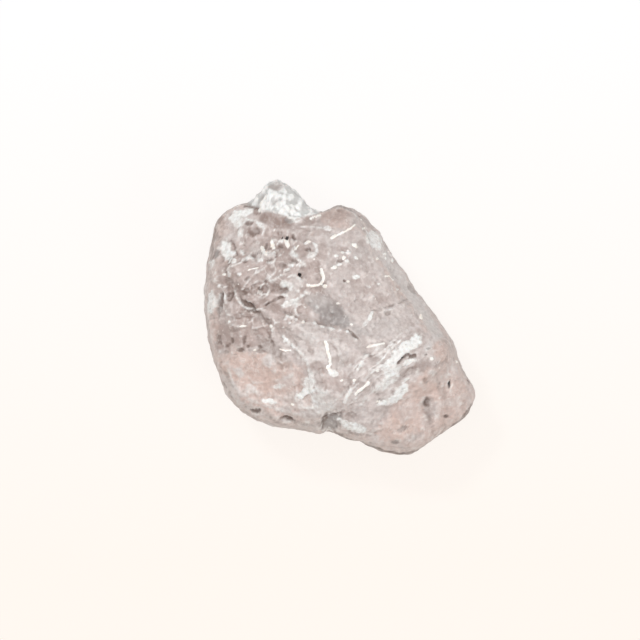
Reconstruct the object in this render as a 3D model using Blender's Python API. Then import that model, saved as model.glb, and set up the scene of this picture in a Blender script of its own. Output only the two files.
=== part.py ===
"""A rough morganite: one water-worn lump of pink beryl, lying on its broad back, with a frosted pale
crystal point grown out of its upper end.

Every point of a closed blank slides along its ray from the stone's heart onto a form that is made of flat
growth and fracture faces, a plan outline, and the ledges, ribs, scars and pits that breaking and wear left.
Sizes are in millimetres and become metres at the end. +Z is up, +Y points to the pale point's end, and the
origin is on the flat resting face, under the middle of the stone's box.
"""

import math

import bmesh
import bpy
import numpy as np
from mathutils import Vector, noise

MM = 0.001
NAME = "morganite"

# ---------------------------------------------------------------------------------------------------
# Driving dimensions, in millimetres and degrees
# ---------------------------------------------------------------------------------------------------
HEART = np.array((-1.0, -0.8, 5.15))  # a point inside the stone that its faces are measured from
BLANK_HALF_SIZE = np.array((11.0, 11.0, 7.0))
BLANK_CUTS = 28  # grid lines along each side of the blank
LIFT_OF_GRID = 0.30  # how far the blank's grid is drawn up to the broad upper side, 0 to 1
FARTHEST_RAY = 2.2  # in blank radii: every ray ends outside the stone there

# The plan outline at its widest, clockwise from the upper left shoulder.
OUTLINE = (
    (-9.45, 8.75), (-8.1, 9.25), (-6.4, 8.6), (-3.9, 8.3), (-2.4, 8.65), (-1.3, 8.35), (0.5, 9.0),
    (1.9, 8.15), (2.9, 7.2), (4.1, 5.25), (5.45, 3.3), (6.7, 1.4), (8.1, -0.5), (9.1, -2.1),
    (9.55, -3.4), (10.05, -4.7), (11.3, -5.9), (11.05, -7.0), (9.65, -8.25), (7.55, -9.8), (5.2, -11.3),
    (3.25, -10.5), (0.55, -9.3), (-0.9, -9.1), (-3.1, -8.95), (-5.35, -8.55), (-7.2, -8.15),
    (-8.55, -6.85), (-9.35, -5.25), (-9.95, -3.4), (-10.6, -1.4), (-10.7, 1.4), (-10.6, 4.3),
    (-10.05, 6.55),
)
CURVE_STEPS = 6  # points that the outline's curve puts between two of these
WIDEST_AT = 5.0  # height of the widest section
DRAWN_IN_ABOVE = 0.12  # share by which the outline shrinks at the top
DRAWN_IN_BELOW = 0.22  # and at the resting face
STONE_HEIGHT = 11.8
EDGE_ROUNDING = 0.14  # softness of the edges between faces

# Growth and fracture faces: the way a face looks in plan, its rise above level, its reach from the heart.
FACES = {
    "crown": (150, 83, 5.90),
    "right_plane": (34, 64, 6.28),
    "right_flank": (34, 28, 7.30),
    "head_slope": (97, 50, 7.70),
    "left_shoulder": (140, 38, 10.0),
    "left_slope": (186, 48, 8.30),
    "left_flank": (178, 14, 9.55),
    "lobe_slope": (232, 62, 7.00),
    "lobe_flank": (238, 24, 9.20),
    "foot_slope": (296, 68, 6.55),
    "foot_flank": (264, 34, 8.40),
    "corner_slope": (335, 54, 8.40),
    "corner_flank": (318, 24, 12.2),
    "under_left": (196, -38, 7.90),
    "under_head": (112, -28, 10.2),
    "under_right": (30, -40, 6.90),
    "under_corner": (322, -30, 11.9),
    "under_foot": (262, -42, 7.60),
    "resting": (0, -90, 6.30),
}

# The pale crystal point: its own heart and faces.
TIP_HEART = np.array((-4.5, 8.0, 6.0))
TIP_ROUNDING = 0.08
TIP_FACES = {
    "end": (92, 2, 2.97),
    "end_top": (86, 44, 2.55),
    "left_side": (138, 2, 2.70),
    "left_top": (158, 46, 2.25),
    "right_side": (48, 0, 2.24),
    "right_low": (33, 0, 1.98),
    "right_top": (34, 50, 2.05),
    "crest": (118, 72, 2.30),
    "under_end": (94, -44, 2.15),
    "under_left": (150, -46, 2.20),
    "under_right": (38, -46, 1.95),
    "inner_left": (222, 0, 3.00),
    "inner_right": (318, 0, 3.20),
}
JOIN_ROUNDING = 0.25  # softness of the seam between the stone and the point

# Ledges: a path in plan, the drop on its left-hand side, how sharp the step is, how far the drop reaches.
LEDGES = {
    "grey_hollow_edge": (((-4.4, 0.5), (-3.1, -0.2), (-1.5, -0.8), (0.5, -1.4), (1.6, -2.3)), 0.65, 0.60, 2.2),
    "lobe_scar": (((-1.3, -7.2), (-2.2, -5.4), (-2.5, -3.8), (-3.1, -2.6), (-4.1, -1.6), (-5.2, -0.5)), 0.55, 0.60, 3.2),
    "foot_notch": (((-0.9, -10.2), (-1.05, -8.6), (-0.9, -7.4), (-0.2, -6.6)), -0.70, 0.45, 2.2),
    "right_plane_ledge": (((2.8, 0.4), (4.2, 0.9), (5.6, 1.4)), 0.30, 0.50, 1.8),
    "crown_brow": (((-8.6, 4.4), (-6.2, 5.2), (-3.6, 5.0), (-2.6, 5.9)), 0.35, 0.40, 2.0),
    "corner_step": (((2.6, -8.4), (4.4, -6.4), (6.3, -5.2), (8.4, -4.0)), -0.45, 0.45, 2.4),
}

# Ribs: a straight path in plan, the half width and the height that they stand above the face.
RIBS = {
    "frosted_rib": ((-0.4, -6.8), (6.6, -1.9), 1.05, 0.52),
    "rim_of_lobe": ((-8.9, -5.4), (-4.6, -8.3), 0.60, 0.22),
    "triangle_edge": ((-0.9, -5.2), (1.2, -2.2), 0.70, 0.25),
    "head_brow": ((-6.0, 7.2), (0.9, 7.5), 0.80, 0.30),
}

# Hollows and pits: place in plan, half length, half width, the way the length runs, depth.
HOLLOWS = {
    "grey_hollow": (-0.9, 0.6, 2.4, 1.1, -28, 0.50),
    "triangle_face": (-2.2, -2.2, 1.9, 0.9, -20, 0.30),
    "dark_recess": (5.4, -3.5, 1.3, 0.75, 35, 0.42),
    "crown_bowl": (-7.2, 0.7, 1.2, 0.85, -45, 0.36),
    "crown_dish": (-6.2, 2.4, 1.0, 0.85, 10, 0.30),
    "left_dish": (-8.6, 2.3, 0.75, 0.95, 0, 0.28),
    "ring_pit": (-2.4, 5.3, 0.75, 0.75, 0, 0.25),
    "crescent_dish": (-2.0, 3.4, 1.0, 0.85, 20, 0.28),
    "dark_pit": (-3.1, 3.3, 0.65, 0.65, 0, 0.25),
    "shoulder_furrow": (-6.0, 5.6, 1.8, 0.65, 12, 0.28),
    "foot_slit": (8.7, -5.2, 0.55, 0.85, 0, 0.30),
    "foot_oval": (7.0, -6.7, 0.65, 0.85, 15, 0.30),
    "rim_pit_left": (-6.65, -7.2, 0.85, 0.6, -18, 0.28),
    "rim_pit_right": (-4.15, -7.8, 0.85, 0.6, -14, 0.28),
}
PIT_STEEPNESS = 1.6  # 1 gives a soft bell, more gives a flatter floor and steeper walls

# Shell-shaped fracture scars on the sides and underside: way, rise, distance of the centre, radius.
SCARS = {
    "right_low": (12, -12, 15.4, 6.6),
    "right_far": (48, -22, 14.2, 6.4),
    "head_low": (82, -38, 13.2, 6.0),
    "shoulder_low": (132, -20, 17.6, 6.6),
    "left_low": (168, -25, 16.2, 7.0),
    "lobe_low": (214, -16, 17.4, 6.8),
    "foot_low": (246, -30, 15.2, 6.6),
    "corner_low": (300, -20, 17.4, 6.8),
    "corner_side": (338, -26, 17.6, 6.2),
}
SCAR_ROUNDING = 0.15

# Chipped edges: small flat cuts that lean every way down to this rise and pare whatever stands out most there.
CHIPS = 72
LOWEST_CHIP = -34
LEAST_CHIP, MOST_CHIP = 0.06, 0.24
TURN = 137.5  # degrees from one chip to the next, so that no two line up

# Breakage: shell-shaped flakes all over, with sharp ridges between them, and a finer roughness.
FLAKE_SIZE = np.array((2.7, 2.1, 2.3))
FLAKE_DEPTH = 0.42
GRAIN_SIZE, GRAIN_DEPTH = 1.1, 0.08

# Wear: the underside, which lay lowest, is rubbed smoother than the rest.
WORN_BELOW = 4.2
WEAR_PASSES = 3


# ---------------------------------------------------------------------------------------------------
# Small geometry helpers; every array of points is N by 3, in millimetres
# ---------------------------------------------------------------------------------------------------
def direction(way, rise):
    """The unit vector that looks that way in plan and rises that much above level."""
    way, rise = math.radians(way), math.radians(rise)
    return np.array((math.cos(way) * math.cos(rise), math.sin(way) * math.cos(rise), math.sin(rise)))


def soft_max(values, softness):
    """The largest of the rows, with the change from one to another rounded."""
    top = values.max(axis=0)
    return top + softness * np.log(np.exp((values - top) / softness).sum(axis=0))


def soft_min(values, softness):
    return -soft_max(-values, softness)


def smooth_step(share):
    share = np.clip(share, 0.0, 1.0)
    return share * share * (3.0 - 2.0 * share)


def outline_curve():
    """The outline as (angle, radius) about the heart, from a closed Catmull-Rom curve through its points."""
    corners = np.array(OUTLINE) - HEART[:2]
    before, after, beyond = (np.roll(corners, shift, axis=0) for shift in (1, -1, -2))
    steps = np.arange(CURVE_STEPS)[:, None, None] / CURVE_STEPS
    curve = 0.5 * (
        2.0 * corners
        + (after - before) * steps
        + (2.0 * before - 5.0 * corners + 4.0 * after - beyond) * steps**2
        + (3.0 * corners - before - 3.0 * after + beyond) * steps**3
    ).reshape(-1, 2)
    angles = np.arctan2(curve[:, 1], curve[:, 0])
    order = np.argsort(angles)
    return angles[order], np.hypot(curve[:, 0], curve[:, 1])[order]


OUTLINE_ANGLES, OUTLINE_RADII = outline_curve()


def from_path(points, path):
    """Each point's distance to a path in plan, and its side: +1 on the left of the way the path runs."""
    nearest = np.full(len(points), np.inf)
    side = np.ones(len(points))
    for start, end in zip(path, path[1:]):
        start, run = np.array(start), np.subtract(end, start)
        offset = points[:, :2] - start
        share = np.clip(offset @ run / (run @ run), 0.0, 1.0)
        distance = np.linalg.norm(offset - share[:, None] * run, axis=1)
        closer = distance < nearest
        turn = run[0] * offset[:, 1] - run[1] * offset[:, 0]
        side = np.where(closer, np.sign(turn), side)
        nearest = np.where(closer, distance, nearest)
    return nearest, side


def in_ellipse(points, x, y, half_length, half_width, way):
    """0 at the middle of an ellipse in plan and 1 on its edge."""
    turn = math.radians(way)
    dx, dy = points[:, 0] - x, points[:, 1] - y
    along = (dx * math.cos(turn) + dy * math.sin(turn)) / half_length
    across = (dy * math.cos(turn) - dx * math.sin(turn)) / half_width
    return np.hypot(along, across)


# ---------------------------------------------------------------------------------------------------
# The form: below 0 inside the stone, above 0 outside, in about millimetres
# ---------------------------------------------------------------------------------------------------
def flat_faces(points, heart, faces):
    """How far each point is past each flat face."""
    return np.array([(points - heart) @ direction(way, rise) - reach for way, rise, reach in faces.values()])


def outline_wall(points):
    """How far each point is past the plan outline, which draws in above and below its widest height."""
    offset = points[:, :2] - HEART[:2]
    radius = np.interp(np.arctan2(offset[:, 1], offset[:, 0]), OUTLINE_ANGLES, OUTLINE_RADII, period=math.tau)
    height = points[:, 2] - WIDEST_AT
    above = DRAWN_IN_ABOVE * np.clip(height / (STONE_HEIGHT - WIDEST_AT), 0.0, 1.5) ** 2
    below = DRAWN_IN_BELOW * np.clip(-height / WIDEST_AT, 0.0, 1.5) ** 2
    return np.hypot(offset[:, 0], offset[:, 1]) - radius * (1.0 - above - below)


def upper_relief(points):
    """What ledges, ribs, hollows and pits take off the upper side; a rib takes off less than nothing."""
    taken = np.zeros(len(points))
    for path, drop, step, reach in LEDGES.values():
        distance, side = from_path(points, path)
        over = smooth_step(0.5 + 0.5 * side * distance / step)
        taken += drop * over * np.exp(-((distance / reach) ** 2))
    for start, end, half_width, height in RIBS.values():
        distance, _ = from_path(points, (start, end))
        taken -= height * np.exp(-((distance / half_width) ** 2))
    for x, y, half_length, half_width, way, depth in HOLLOWS.values():
        taken += depth * np.exp(-(in_ellipse(points, x, y, half_length, half_width, way) ** (2 * PIT_STEEPNESS)))
    return taken * smooth_step((points[:, 2] - WIDEST_AT) / 2.0)


def stone_form(points):
    walls = np.vstack((flat_faces(points, HEART, FACES), outline_wall(points)))
    body = soft_max(walls, EDGE_ROUNDING) + upper_relief(points)
    for way, rise, distance, radius in SCARS.values():
        centre = HEART + distance * direction(way, rise)
        outside_scar = radius - np.linalg.norm(points - centre, axis=1)
        body = soft_max(np.vstack((body, outside_scar)), SCAR_ROUNDING)
    tip = soft_max(flat_faces(points, TIP_HEART, TIP_FACES), TIP_ROUNDING)
    return soft_min(np.vstack((body, tip)), JOIN_ROUNDING)


def chip_edges(points):
    """Pares the edges and corners of the stone, though not its pale point, back to small flat cuts."""
    offsets = points - HEART
    body = flat_faces(points, TIP_HEART, TIP_FACES).max(axis=0) > 0.3
    for count in range(CHIPS):
        share = (count + 0.5) / CHIPS
        rise = math.degrees(math.asin(1.0 - share * (1.0 - math.sin(math.radians(LOWEST_CHIP)))))
        depth = LEAST_CHIP + (MOST_CHIP - LEAST_CHIP) * (0.755 * count % 1.0)
        past = offsets @ direction(TURN * count, rise)
        reach = past[body].max() - depth
        pared = body & (past > reach)
        offsets[pared] *= (reach / past[pared])[:, None]
    return HEART + offsets


def breakage(point):
    """How deep flakes and grain go in at one point."""
    nearest = noise.voronoi(Vector(point / FLAKE_SIZE))[0][0]
    grain = noise.fractal(Vector(point / GRAIN_SIZE), 1.0, 2.0, 3)
    return FLAKE_DEPTH * (0.22 - nearest**2) + GRAIN_DEPTH * grain


# ---------------------------------------------------------------------------------------------------
# Building it
# ---------------------------------------------------------------------------------------------------
def make_blank():
    """A cube with a grid on its sides, blown up to an ellipsoid whose grid is denser above."""
    blank = bmesh.new()
    bmesh.ops.create_cube(blank, size=2.0)
    bmesh.ops.subdivide_edges(blank, edges=blank.edges[:], cuts=BLANK_CUTS, use_grid_fill=True)
    for vert in blank.verts:
        vert.co = [math.tan(part * math.pi / 4.0) for part in vert.co]
        vert.co.normalize()
        level = vert.co.z + LIFT_OF_GRID * (vert.co.z**2 - 1.0)
        ring = math.hypot(vert.co.x, vert.co.y)
        widen = math.sqrt(max(0.0, 1.0 - level**2)) / ring if ring > 1e-6 else 1.0
        vert.co = (vert.co.x * widen, vert.co.y * widen, level)
    return blank


def slide_onto_form(rays):
    """Where each ray from the heart last leaves the stone, found by halving."""
    inner, outer = np.zeros(len(rays)), np.full(len(rays), FARTHEST_RAY)
    for share in np.arange(FARTHEST_RAY, 0.2, -0.04):
        inside = stone_form(HEART + rays * share) < 0.0
        found = inside & (inner == 0.0)
        inner[found] = share
        outer[found] = share + 0.04
    for _ in range(16):
        middle = (inner + outer) / 2.0
        inside = stone_form(HEART + rays * middle[:, None]) < 0.0
        inner, outer = np.where(inside, middle, inner), np.where(inside, outer, middle)
    return HEART + rays * inner[:, None]


def broken(points, normals):
    depths = np.array([breakage(point) for point in points])
    return points - normals * depths[:, None]


def centred(points):
    """The points moved level, so that the origin is under the middle of their box."""
    middle = (points.min(axis=0) + points.max(axis=0)) / 2.0
    return points - middle * (1.0, 1.0, 0.0)


def rest_flat(stone):
    """Cuts the underside off level at the origin, as one flat face."""
    every = stone.verts[:] + stone.edges[:] + stone.faces[:]
    cut = bmesh.ops.bisect_plane(stone, geom=every, plane_co=(0, 0, 0), plane_no=(0, 0, -1), clear_outer=True)
    rim = [item for item in cut["geom_cut"] if isinstance(item, bmesh.types.BMEdge)]
    bmesh.ops.contextual_create(stone, geom=rim)


def stone_material():
    material = bpy.data.materials.new("cloudy_pink_beryl")
    material.use_nodes = True
    shader = material.node_tree.nodes["Principled BSDF"]
    shader.inputs["Base Color"].default_value = (0.57, 0.44, 0.41, 1.0)
    shader.inputs["Roughness"].default_value = 0.42
    shader.inputs["Metallic"].default_value = 0.0
    shader.inputs["IOR"].default_value = 1.58
    return material


def build_stone():
    stone = make_blank()
    stone.verts.ensure_lookup_table()
    rays = np.array([vert.co for vert in stone.verts]) * BLANK_HALF_SIZE
    for vert, place in zip(stone.verts, chip_edges(slide_onto_form(rays))):
        vert.co = place
    worn = [vert for vert in stone.verts if vert.co.z < WORN_BELOW]
    for _ in range(WEAR_PASSES):
        bmesh.ops.smooth_vert(stone, verts=worn, factor=0.5, use_axis_x=True, use_axis_y=True, use_axis_z=True)
    bmesh.ops.triangulate(stone, faces=stone.faces[:])
    stone.normal_update()
    points = np.array([vert.co for vert in stone.verts])
    normals = np.array([vert.normal for vert in stone.verts])
    for vert, place in zip(stone.verts, centred(broken(points, normals))):
        vert.co = place * MM
    rest_flat(stone)
    mesh = bpy.data.meshes.new(NAME)
    stone.to_mesh(mesh)
    stone.free()
    mesh.materials.append(stone_material())
    mesh.shade_smooth()
    return bpy.data.objects.new(NAME, mesh)


def main():
    for old in list(bpy.data.objects):
        bpy.data.objects.remove(old)
    collection = bpy.data.collections.new("morganite_specimen")
    bpy.context.scene.collection.children.link(collection)
    collection.objects.link(build_stone())


main()
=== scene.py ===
# %% [markdown]
# # A rough morganite
#
# Morganite is the pink kind of beryl. This specimen is a broken lump of it, about 22 mm across: cloudy
# inside, satin on its broken faces, crossed by frosted white fractures, and with one pale crystal point
# grown out of its upper end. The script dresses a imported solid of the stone. The solid gives the size and
# the main form, and the cells below add what a loupe would show: ledges, pits, frost, veins and the colour
# of each zone.

# %% The frame
import math

import bmesh
import bpy
import numpy as np
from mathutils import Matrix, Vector, noise
from mathutils.bvhtree import BVHTree


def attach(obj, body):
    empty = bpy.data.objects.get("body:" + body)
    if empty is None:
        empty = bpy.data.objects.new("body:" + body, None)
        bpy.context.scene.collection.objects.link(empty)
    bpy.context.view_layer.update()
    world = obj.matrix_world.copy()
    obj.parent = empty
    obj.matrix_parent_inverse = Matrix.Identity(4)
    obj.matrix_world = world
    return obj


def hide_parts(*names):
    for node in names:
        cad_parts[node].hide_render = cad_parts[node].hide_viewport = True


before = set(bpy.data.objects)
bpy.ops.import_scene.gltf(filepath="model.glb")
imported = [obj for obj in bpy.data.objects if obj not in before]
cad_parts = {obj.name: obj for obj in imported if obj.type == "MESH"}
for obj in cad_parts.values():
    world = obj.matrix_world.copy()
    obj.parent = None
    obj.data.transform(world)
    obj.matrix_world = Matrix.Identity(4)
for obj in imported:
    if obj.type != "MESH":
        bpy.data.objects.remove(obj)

MM = 0.001
noise.seed_set(1)  # the tilts of the facets are drawn from it; without a seed they would come from the clock
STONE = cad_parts["morganite"]
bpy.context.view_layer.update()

# %% [markdown]
# ## Two helpers for every material
#
# Colours are written as sRGB hex values, the way a colour picker shows them, but a shader works in linear
# light. One function turns the one into the other. A second adds a node together with its settings and its
# links, so a material reads as a list of steps.

# %% Colour and nodes
def linear(code):
    """An sRGB hex colour as a linear RGBA tuple."""
    parts = [int(code[i : i + 2], 16) / 255.0 for i in (1, 3, 5)]
    return tuple(p / 12.92 if p <= 0.04045 else ((p + 0.055) / 1.055) ** 2.4 for p in parts) + (1.0,)


def add(tree, kind, settings=None, inputs=None):
    """A new node. An input is given a value, or the socket that feeds it."""
    node = tree.nodes.new(kind)
    for name, value in (settings or {}).items():
        setattr(node, name, value)
    for name, value in (inputs or {}).items():
        if isinstance(value, bpy.types.NodeSocket):
            tree.links.new(value, node.inputs[name])
        else:
            node.inputs[name].default_value = value
    return node


print("middle pink in linear light:", [round(part, 3) for part in linear("#C9B7B1")])

# %% [markdown]
# ## The form under the finish
#
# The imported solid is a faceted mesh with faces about 0.7 mm wide. Two rounds of subdivision turn it into a
# smooth form that keeps the same ledges and hollows. That form only guides the finished surface and is
# never shown. It could be remeshed in place, but the fine marks sit mostly on the upper side, so the
# surface is better laid out anew, with its points where the marks are.

# %% A smooth form to lay the surface on
HEART = Vector((-1.0, -0.8, 5.15))  # a point inside the stone, in mm; every ray of the surface starts there
FORM_LEVELS = 2


def smooth_form():
    """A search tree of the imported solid, subdivided and in millimetres."""
    mesh = STONE.data.copy()
    shape = bmesh.new()
    shape.from_mesh(mesh)
    bmesh.ops.remove_doubles(shape, verts=shape.verts, dist=1e-7)
    bmesh.ops.scale(shape, verts=shape.verts, vec=(1 / MM,) * 3)
    shape.to_mesh(mesh)
    shape.free()
    guide = bpy.data.objects.new("guide", mesh)
    bpy.context.scene.collection.objects.link(guide)
    guide.modifiers.new("smooth", "SUBSURF").levels = FORM_LEVELS
    tree = BVHTree.FromObject(guide, bpy.context.evaluated_depsgraph_get())
    bpy.data.objects.remove(guide)
    bpy.data.meshes.remove(mesh)
    return tree


FORM = smooth_form()
print("height over the heart:", round(FORM.ray_cast(HEART, Vector((0, 0, 1)))[3], 2), "mm")

# %% [markdown]
# ## Points where the marks are
#
# The finest marks are bright lines, some only 0.13 mm wide. A square grid bent into a disc is dropped
# straight down on the upper side, with a point about every 0.09 mm, so even such a line has a row of points
# or two on it and its relief is real geometry. Near the outline the rays fan out, so that the steep flank
# gets its share. A sphere of points would be simpler, but it would put as many on the hidden underside as
# on the side that shows.

# %% The rays' plan
TOP_SHARE = 0.80  # of the disc's radius: inside it rays fall straight down, and outside it they fan out
INSET = 0.88  # of the stone's radius, where the fan's rays start
LEVELS = (-0.5, 0.0, 0.6, 1.2, 1.8, 2.4)  # mm over the heart, at which the stone's radius is measured
FAR = 30.0  # mm, well outside the stone whichever way
UP = Vector((0.0, 0.0, 1.0))


def landed(inside, way):
    """The form's outermost point, seen from a point inside it."""
    return FORM.ray_cast(inside + way * FAR, -way)[0]


def widest(angle):
    """The stone's radius that way, the widest of several levels."""
    way = Vector((math.cos(angle), math.sin(angle), 0.0))
    return max((landed(HEART + UP * level, way) - HEART).xy.length for level in LEVELS)


TURNS = np.linspace(-math.pi, math.pi, 1441)
AVERAGED_TURNS = 13  # readings, a little over 3 degrees
RADII = np.array([widest(turn) for turn in TURNS])
RADII = np.pad(RADII, AVERAGED_TURNS // 2, mode="wrap")
RADII = np.convolve(RADII, np.full(AVERAGED_TURNS, 1 / AVERAGED_TURNS), mode="valid")


def on_top(radius, angle):
    """The form's point for a place on the unit disc."""
    out = Vector((math.cos(angle), math.sin(angle), 0.0))
    reach = INSET * np.interp(math.remainder(angle, math.tau), TURNS, RADII)
    tip = max(0.0, radius - TOP_SHARE) / (1.0 - TOP_SHARE) * math.pi / 2
    start = HEART + out * reach * min(radius / TOP_SHARE, 1.0)
    return landed(start, out * math.sin(tip) + UP * math.cos(tip))


def below(angle, share, height):
    """The form's point that way from the heart: a share of the stone's radius out, and so high."""
    reach = share * np.interp(angle, TURNS, RADII)
    return landed(HEART, Vector((reach * math.cos(angle), reach * math.sin(angle), height)).normalized())


print("radius from", RADII.min().round(2), "to", RADII.max().round(2), "mm")

# %% [markdown]
# ## The mesh laid out
#
# The upper side is the bent grid. Below the widest section a skirt of rings runs down to the resting face,
# each ring pulled out of the one above it, and one flat polygon closes the last. The result is one closed
# mesh. A Remesh modifier would close it too, but it would spread the points evenly again.

# %% The closed mesh
GRID_CELLS = 256
# Rings, from the top: share of the stone's radius, and mm over the heart. The last four are the resting face.
SKIRT = [(1.0 - 0.0065 * i, -0.2 - 0.195 * i) for i in range(1, 25)]
UNDERSIDE = [(0.80, -5.15), (0.72, -5.15), (0.60, -5.15), (0.40, -5.15)]
SORTING = (1.0, 37.1, 1931.3)  # makes of each place one number that no other place has


def disc(u, v):
    """A point of the square from -1 to 1 bent onto the unit disc, with cells of equal area."""
    if u == 0.0 and v == 0.0:
        return 0.0, 0.0
    if abs(u) > abs(v):
        radius, angle = u, math.pi / 4 * v / u
    else:
        radius, angle = v, math.pi / 2 - math.pi / 4 * u / v
    return (radius, angle) if radius > 0 else (-radius, angle + math.pi)


def laid_out():
    """A closed mesh whose points all lie on the form, in mm."""
    shape = bmesh.new()
    bmesh.ops.create_grid(shape, x_segments=GRID_CELLS, y_segments=GRID_CELLS, size=1.0)
    for vert in shape.verts:
        vert.co = on_top(*disc(vert.co.x, vert.co.y))
    rim = [edge for edge in shape.edges if edge.is_boundary]
    for share, height in SKIRT + UNDERSIDE:
        grown = bmesh.ops.extrude_edge_only(shape, edges=rim)["geom"]
        rim = [item for item in grown if isinstance(item, bmesh.types.BMEdge) and item.is_boundary]
        for vert in {vert for edge in rim for vert in edge.verts}:
            offset = vert.co - HEART
            vert.co = below(math.atan2(offset.y, offset.x), share, height)
    bmesh.ops.contextual_create(shape, geom=rim)
    bmesh.ops.recalc_face_normals(shape, faces=shape.faces)
    shape.normal_update()
    # The rings come out in no fixed order, so points, edges and faces are sorted by where they are.
    shape.verts.sort(key=lambda vert: vert.co.dot(SORTING))
    shape.edges.sort(key=lambda edge: (edge.verts[0].co + edge.verts[1].co).dot(SORTING))
    shape.faces.sort(key=lambda face: face.calc_center_median().dot(SORTING))
    return shape


SHAPE = laid_out()
PLACES = np.array([vert.co for vert in SHAPE.verts])
NORMALS = np.array([vert.normal for vert in SHAPE.verts])
print(len(PLACES), "points, box in mm:", PLACES.min(0).round(2), PLACES.max(0).round(2))

# %% [markdown]
# ## Noise in millimetres
#
# Nothing on a broken stone is even. Two kinds of noise do all the roughening: clouds, which swell and fade,
# and cells, scattered centres with borders between them. Both take their size in real millimetres, so the
# grain stays true to the stone. A shader's noise would do for colour alone, but here the noise also moves
# points, so it is worked out in Python, once for each point.

# %% Clouds, cells and ramps
def clouds(size, octaves=3, seed=0.0):
    """Fractal noise at every point, roughly from -1 to 1, with features of that size in mm."""
    shift = Vector((seed, 2.0 * seed, 3.0 * seed))
    return np.array([noise.fractal(Vector(place / size) + shift, 1.0, 2.0, octaves) for place in PLACES])


def cells(size, seed=0.0):
    """The distances to the nearest two of scattered centres, in units of that size in mm."""
    shift = Vector((seed, 2.0 * seed, 3.0 * seed))
    return np.array([noise.voronoi(Vector(place / size) + shift)[0][:2] for place in PLACES]).T


def ramp(values, low, high):
    """0 below low, 1 above high, and smooth between."""
    share = np.clip((values - low) / (high - low), 0.0, 1.0)
    return share * share * (3.0 - 2.0 * share)


# The side that looks up, and with it the belt where the stone is widest: by slope, and by height in mm.
UPPER = ramp(NORMALS[:, 2], 0.05, 0.35) * ramp(PLACES[:, 2], 3.5, 4.8)
WIDEST = ramp(NORMALS[:, 2], -0.15, 0.10) * ramp(PLACES[:, 2], 3.5, 4.8)
print(int(UPPER.sum()), "points look up")

# %% [markdown]
# ## Measuring in a shaken plan
#
# Every mark is a spot or a stroke in plan, in millimetres. A broken stone has no clean edges, so the plan
# is first shaken a little by noise, and each mark then comes out ragged. Sculpting the marks by hand would
# give the same, but none of them could be moved afterwards.

# %% Spots and strokes
SHAKE = 0.07  # mm, times the noise
PLAN = PLACES[:, :2] + SHAKE * np.stack((clouds(0.7, seed=1.0), clouds(0.7, seed=2.0)), axis=1)
RAGGED = np.clip(clouds(0.32, 2, seed=9.0), -0.6, 0.6)  # eats into edges and adds to them
BROKEN = 0.60 + 0.40 * ramp(clouds(0.42, 2, seed=14.0), -0.30, 0.05)  # makes a vein come and go


def in_ellipse(centre, half_size, turn):
    """Each point's place in an ellipse in plan, along and across it: its edge is at 1."""
    turn = math.radians(turn)
    dx, dy = PLAN[:, 0] - centre[0], PLAN[:, 1] - centre[1]
    along = (dx * math.cos(turn) + dy * math.sin(turn)) / half_size[0]
    return along, (dy * math.cos(turn) - dx * math.sin(turn)) / half_size[1]


def spot(centre, half_size, turn):
    """1 at the middle of an ellipse in plan, fading outward to a ragged edge."""
    along, across = in_ellipse(centre, half_size, turn)
    share = np.exp(-((along**2 + across**2) ** 1.2))
    return ramp(share + 1.3 * RAGGED * share * (1.0 - share), 0.10, 0.75)


def from_path(path):
    """Each point's distance to a path in plan, in mm, and its side: above 0 on the left of its run."""
    nearest = np.full(len(PLAN), np.inf)
    side = np.zeros(len(PLAN))
    for start, end in zip(path, path[1:]):
        run = np.subtract(end, start)
        offset = PLAN - start
        share = np.clip(offset @ run / (run @ run), 0.0, 1.0)
        distance = np.linalg.norm(offset - share[:, None] * run, axis=1)
        turn = run[0] * offset[:, 1] - run[1] * offset[:, 0]
        side = np.where(distance < nearest, np.sign(turn), side)
        nearest = np.minimum(nearest, distance)
    return nearest, side


def stroke(path, half_width):
    """1 along a path in plan, fading to each side, wider and narrower by turns."""
    return np.exp(-((from_path(path)[0] / (half_width * (1.1 + 0.6 * RAGGED))) ** 3))


print("the plan is shaken by up to", np.abs(PLAN - PLACES[:, :2]).max().round(3), "mm")

# %% [markdown]
# ## Zones
#
# The stone broke along faces of different kinds, and each kind has its own texture. The crown, at the upper
# left, is pitted like the skin of an orange where many small crystals of another mineral once sat. The lobe
# at the lower left is a smooth shell-shaped fracture, pinker because it is clearer. A broad frosted rib
# crosses to the lower right, made of fine splinters that all lie one way. The foot, beyond the rib, is
# smooth again. Each zone could be a piece of its own, but a soft mask over one skin leaves no seams.

# %% Zones
WISPS = clouds(1.6, 4, seed=3.0)
MOTTLE = clouds(0.55, 3, seed=4.0)
GRIT = clouds(0.22, 2, seed=5.0)


def zone(centre, half_size, turn, ragged=0.25):
    """1 inside an ellipse in plan and 0 outside, with a ragged edge."""
    return ramp(-np.hypot(*in_ellipse(centre, half_size, turn)) - ragged * WISPS, -1.15, -0.80)


ZONES = {
    "crown": zone((-5.85, 2.65), (4.9, 4.6), 0),
    "lobe": zone((-6.0, -5.15), (4.2, 2.4), -18, 0.42),
    "shelf": zone((-7.7, -1.0), (2.7, 1.7), 12, 0.5),
    "rib": zone((3.1, -4.2), (4.4, 1.9), 40),
    "foot": zone((7.25, -7.55), (3.8, 3.0), 45, 0.12),
    "plane": zone((2.3, 2.6), (4.6, 2.6), -48),
    "grey hollow": zone((-0.9, 0.6), (2.1, 1.0), -28, 0.35),
    "triangle": zone((-1.7, -2.2), (2.9, 1.5), -25, 0.15),
    "corner": zone((0.4, 7.85), (2.0, 0.95), 0),
    "band": zone((-5.05, 7.65), (1.42, 0.66), -14, 0.1),
}
print({name: int(share.sum()) for name, share in ZONES.items()})

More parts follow.
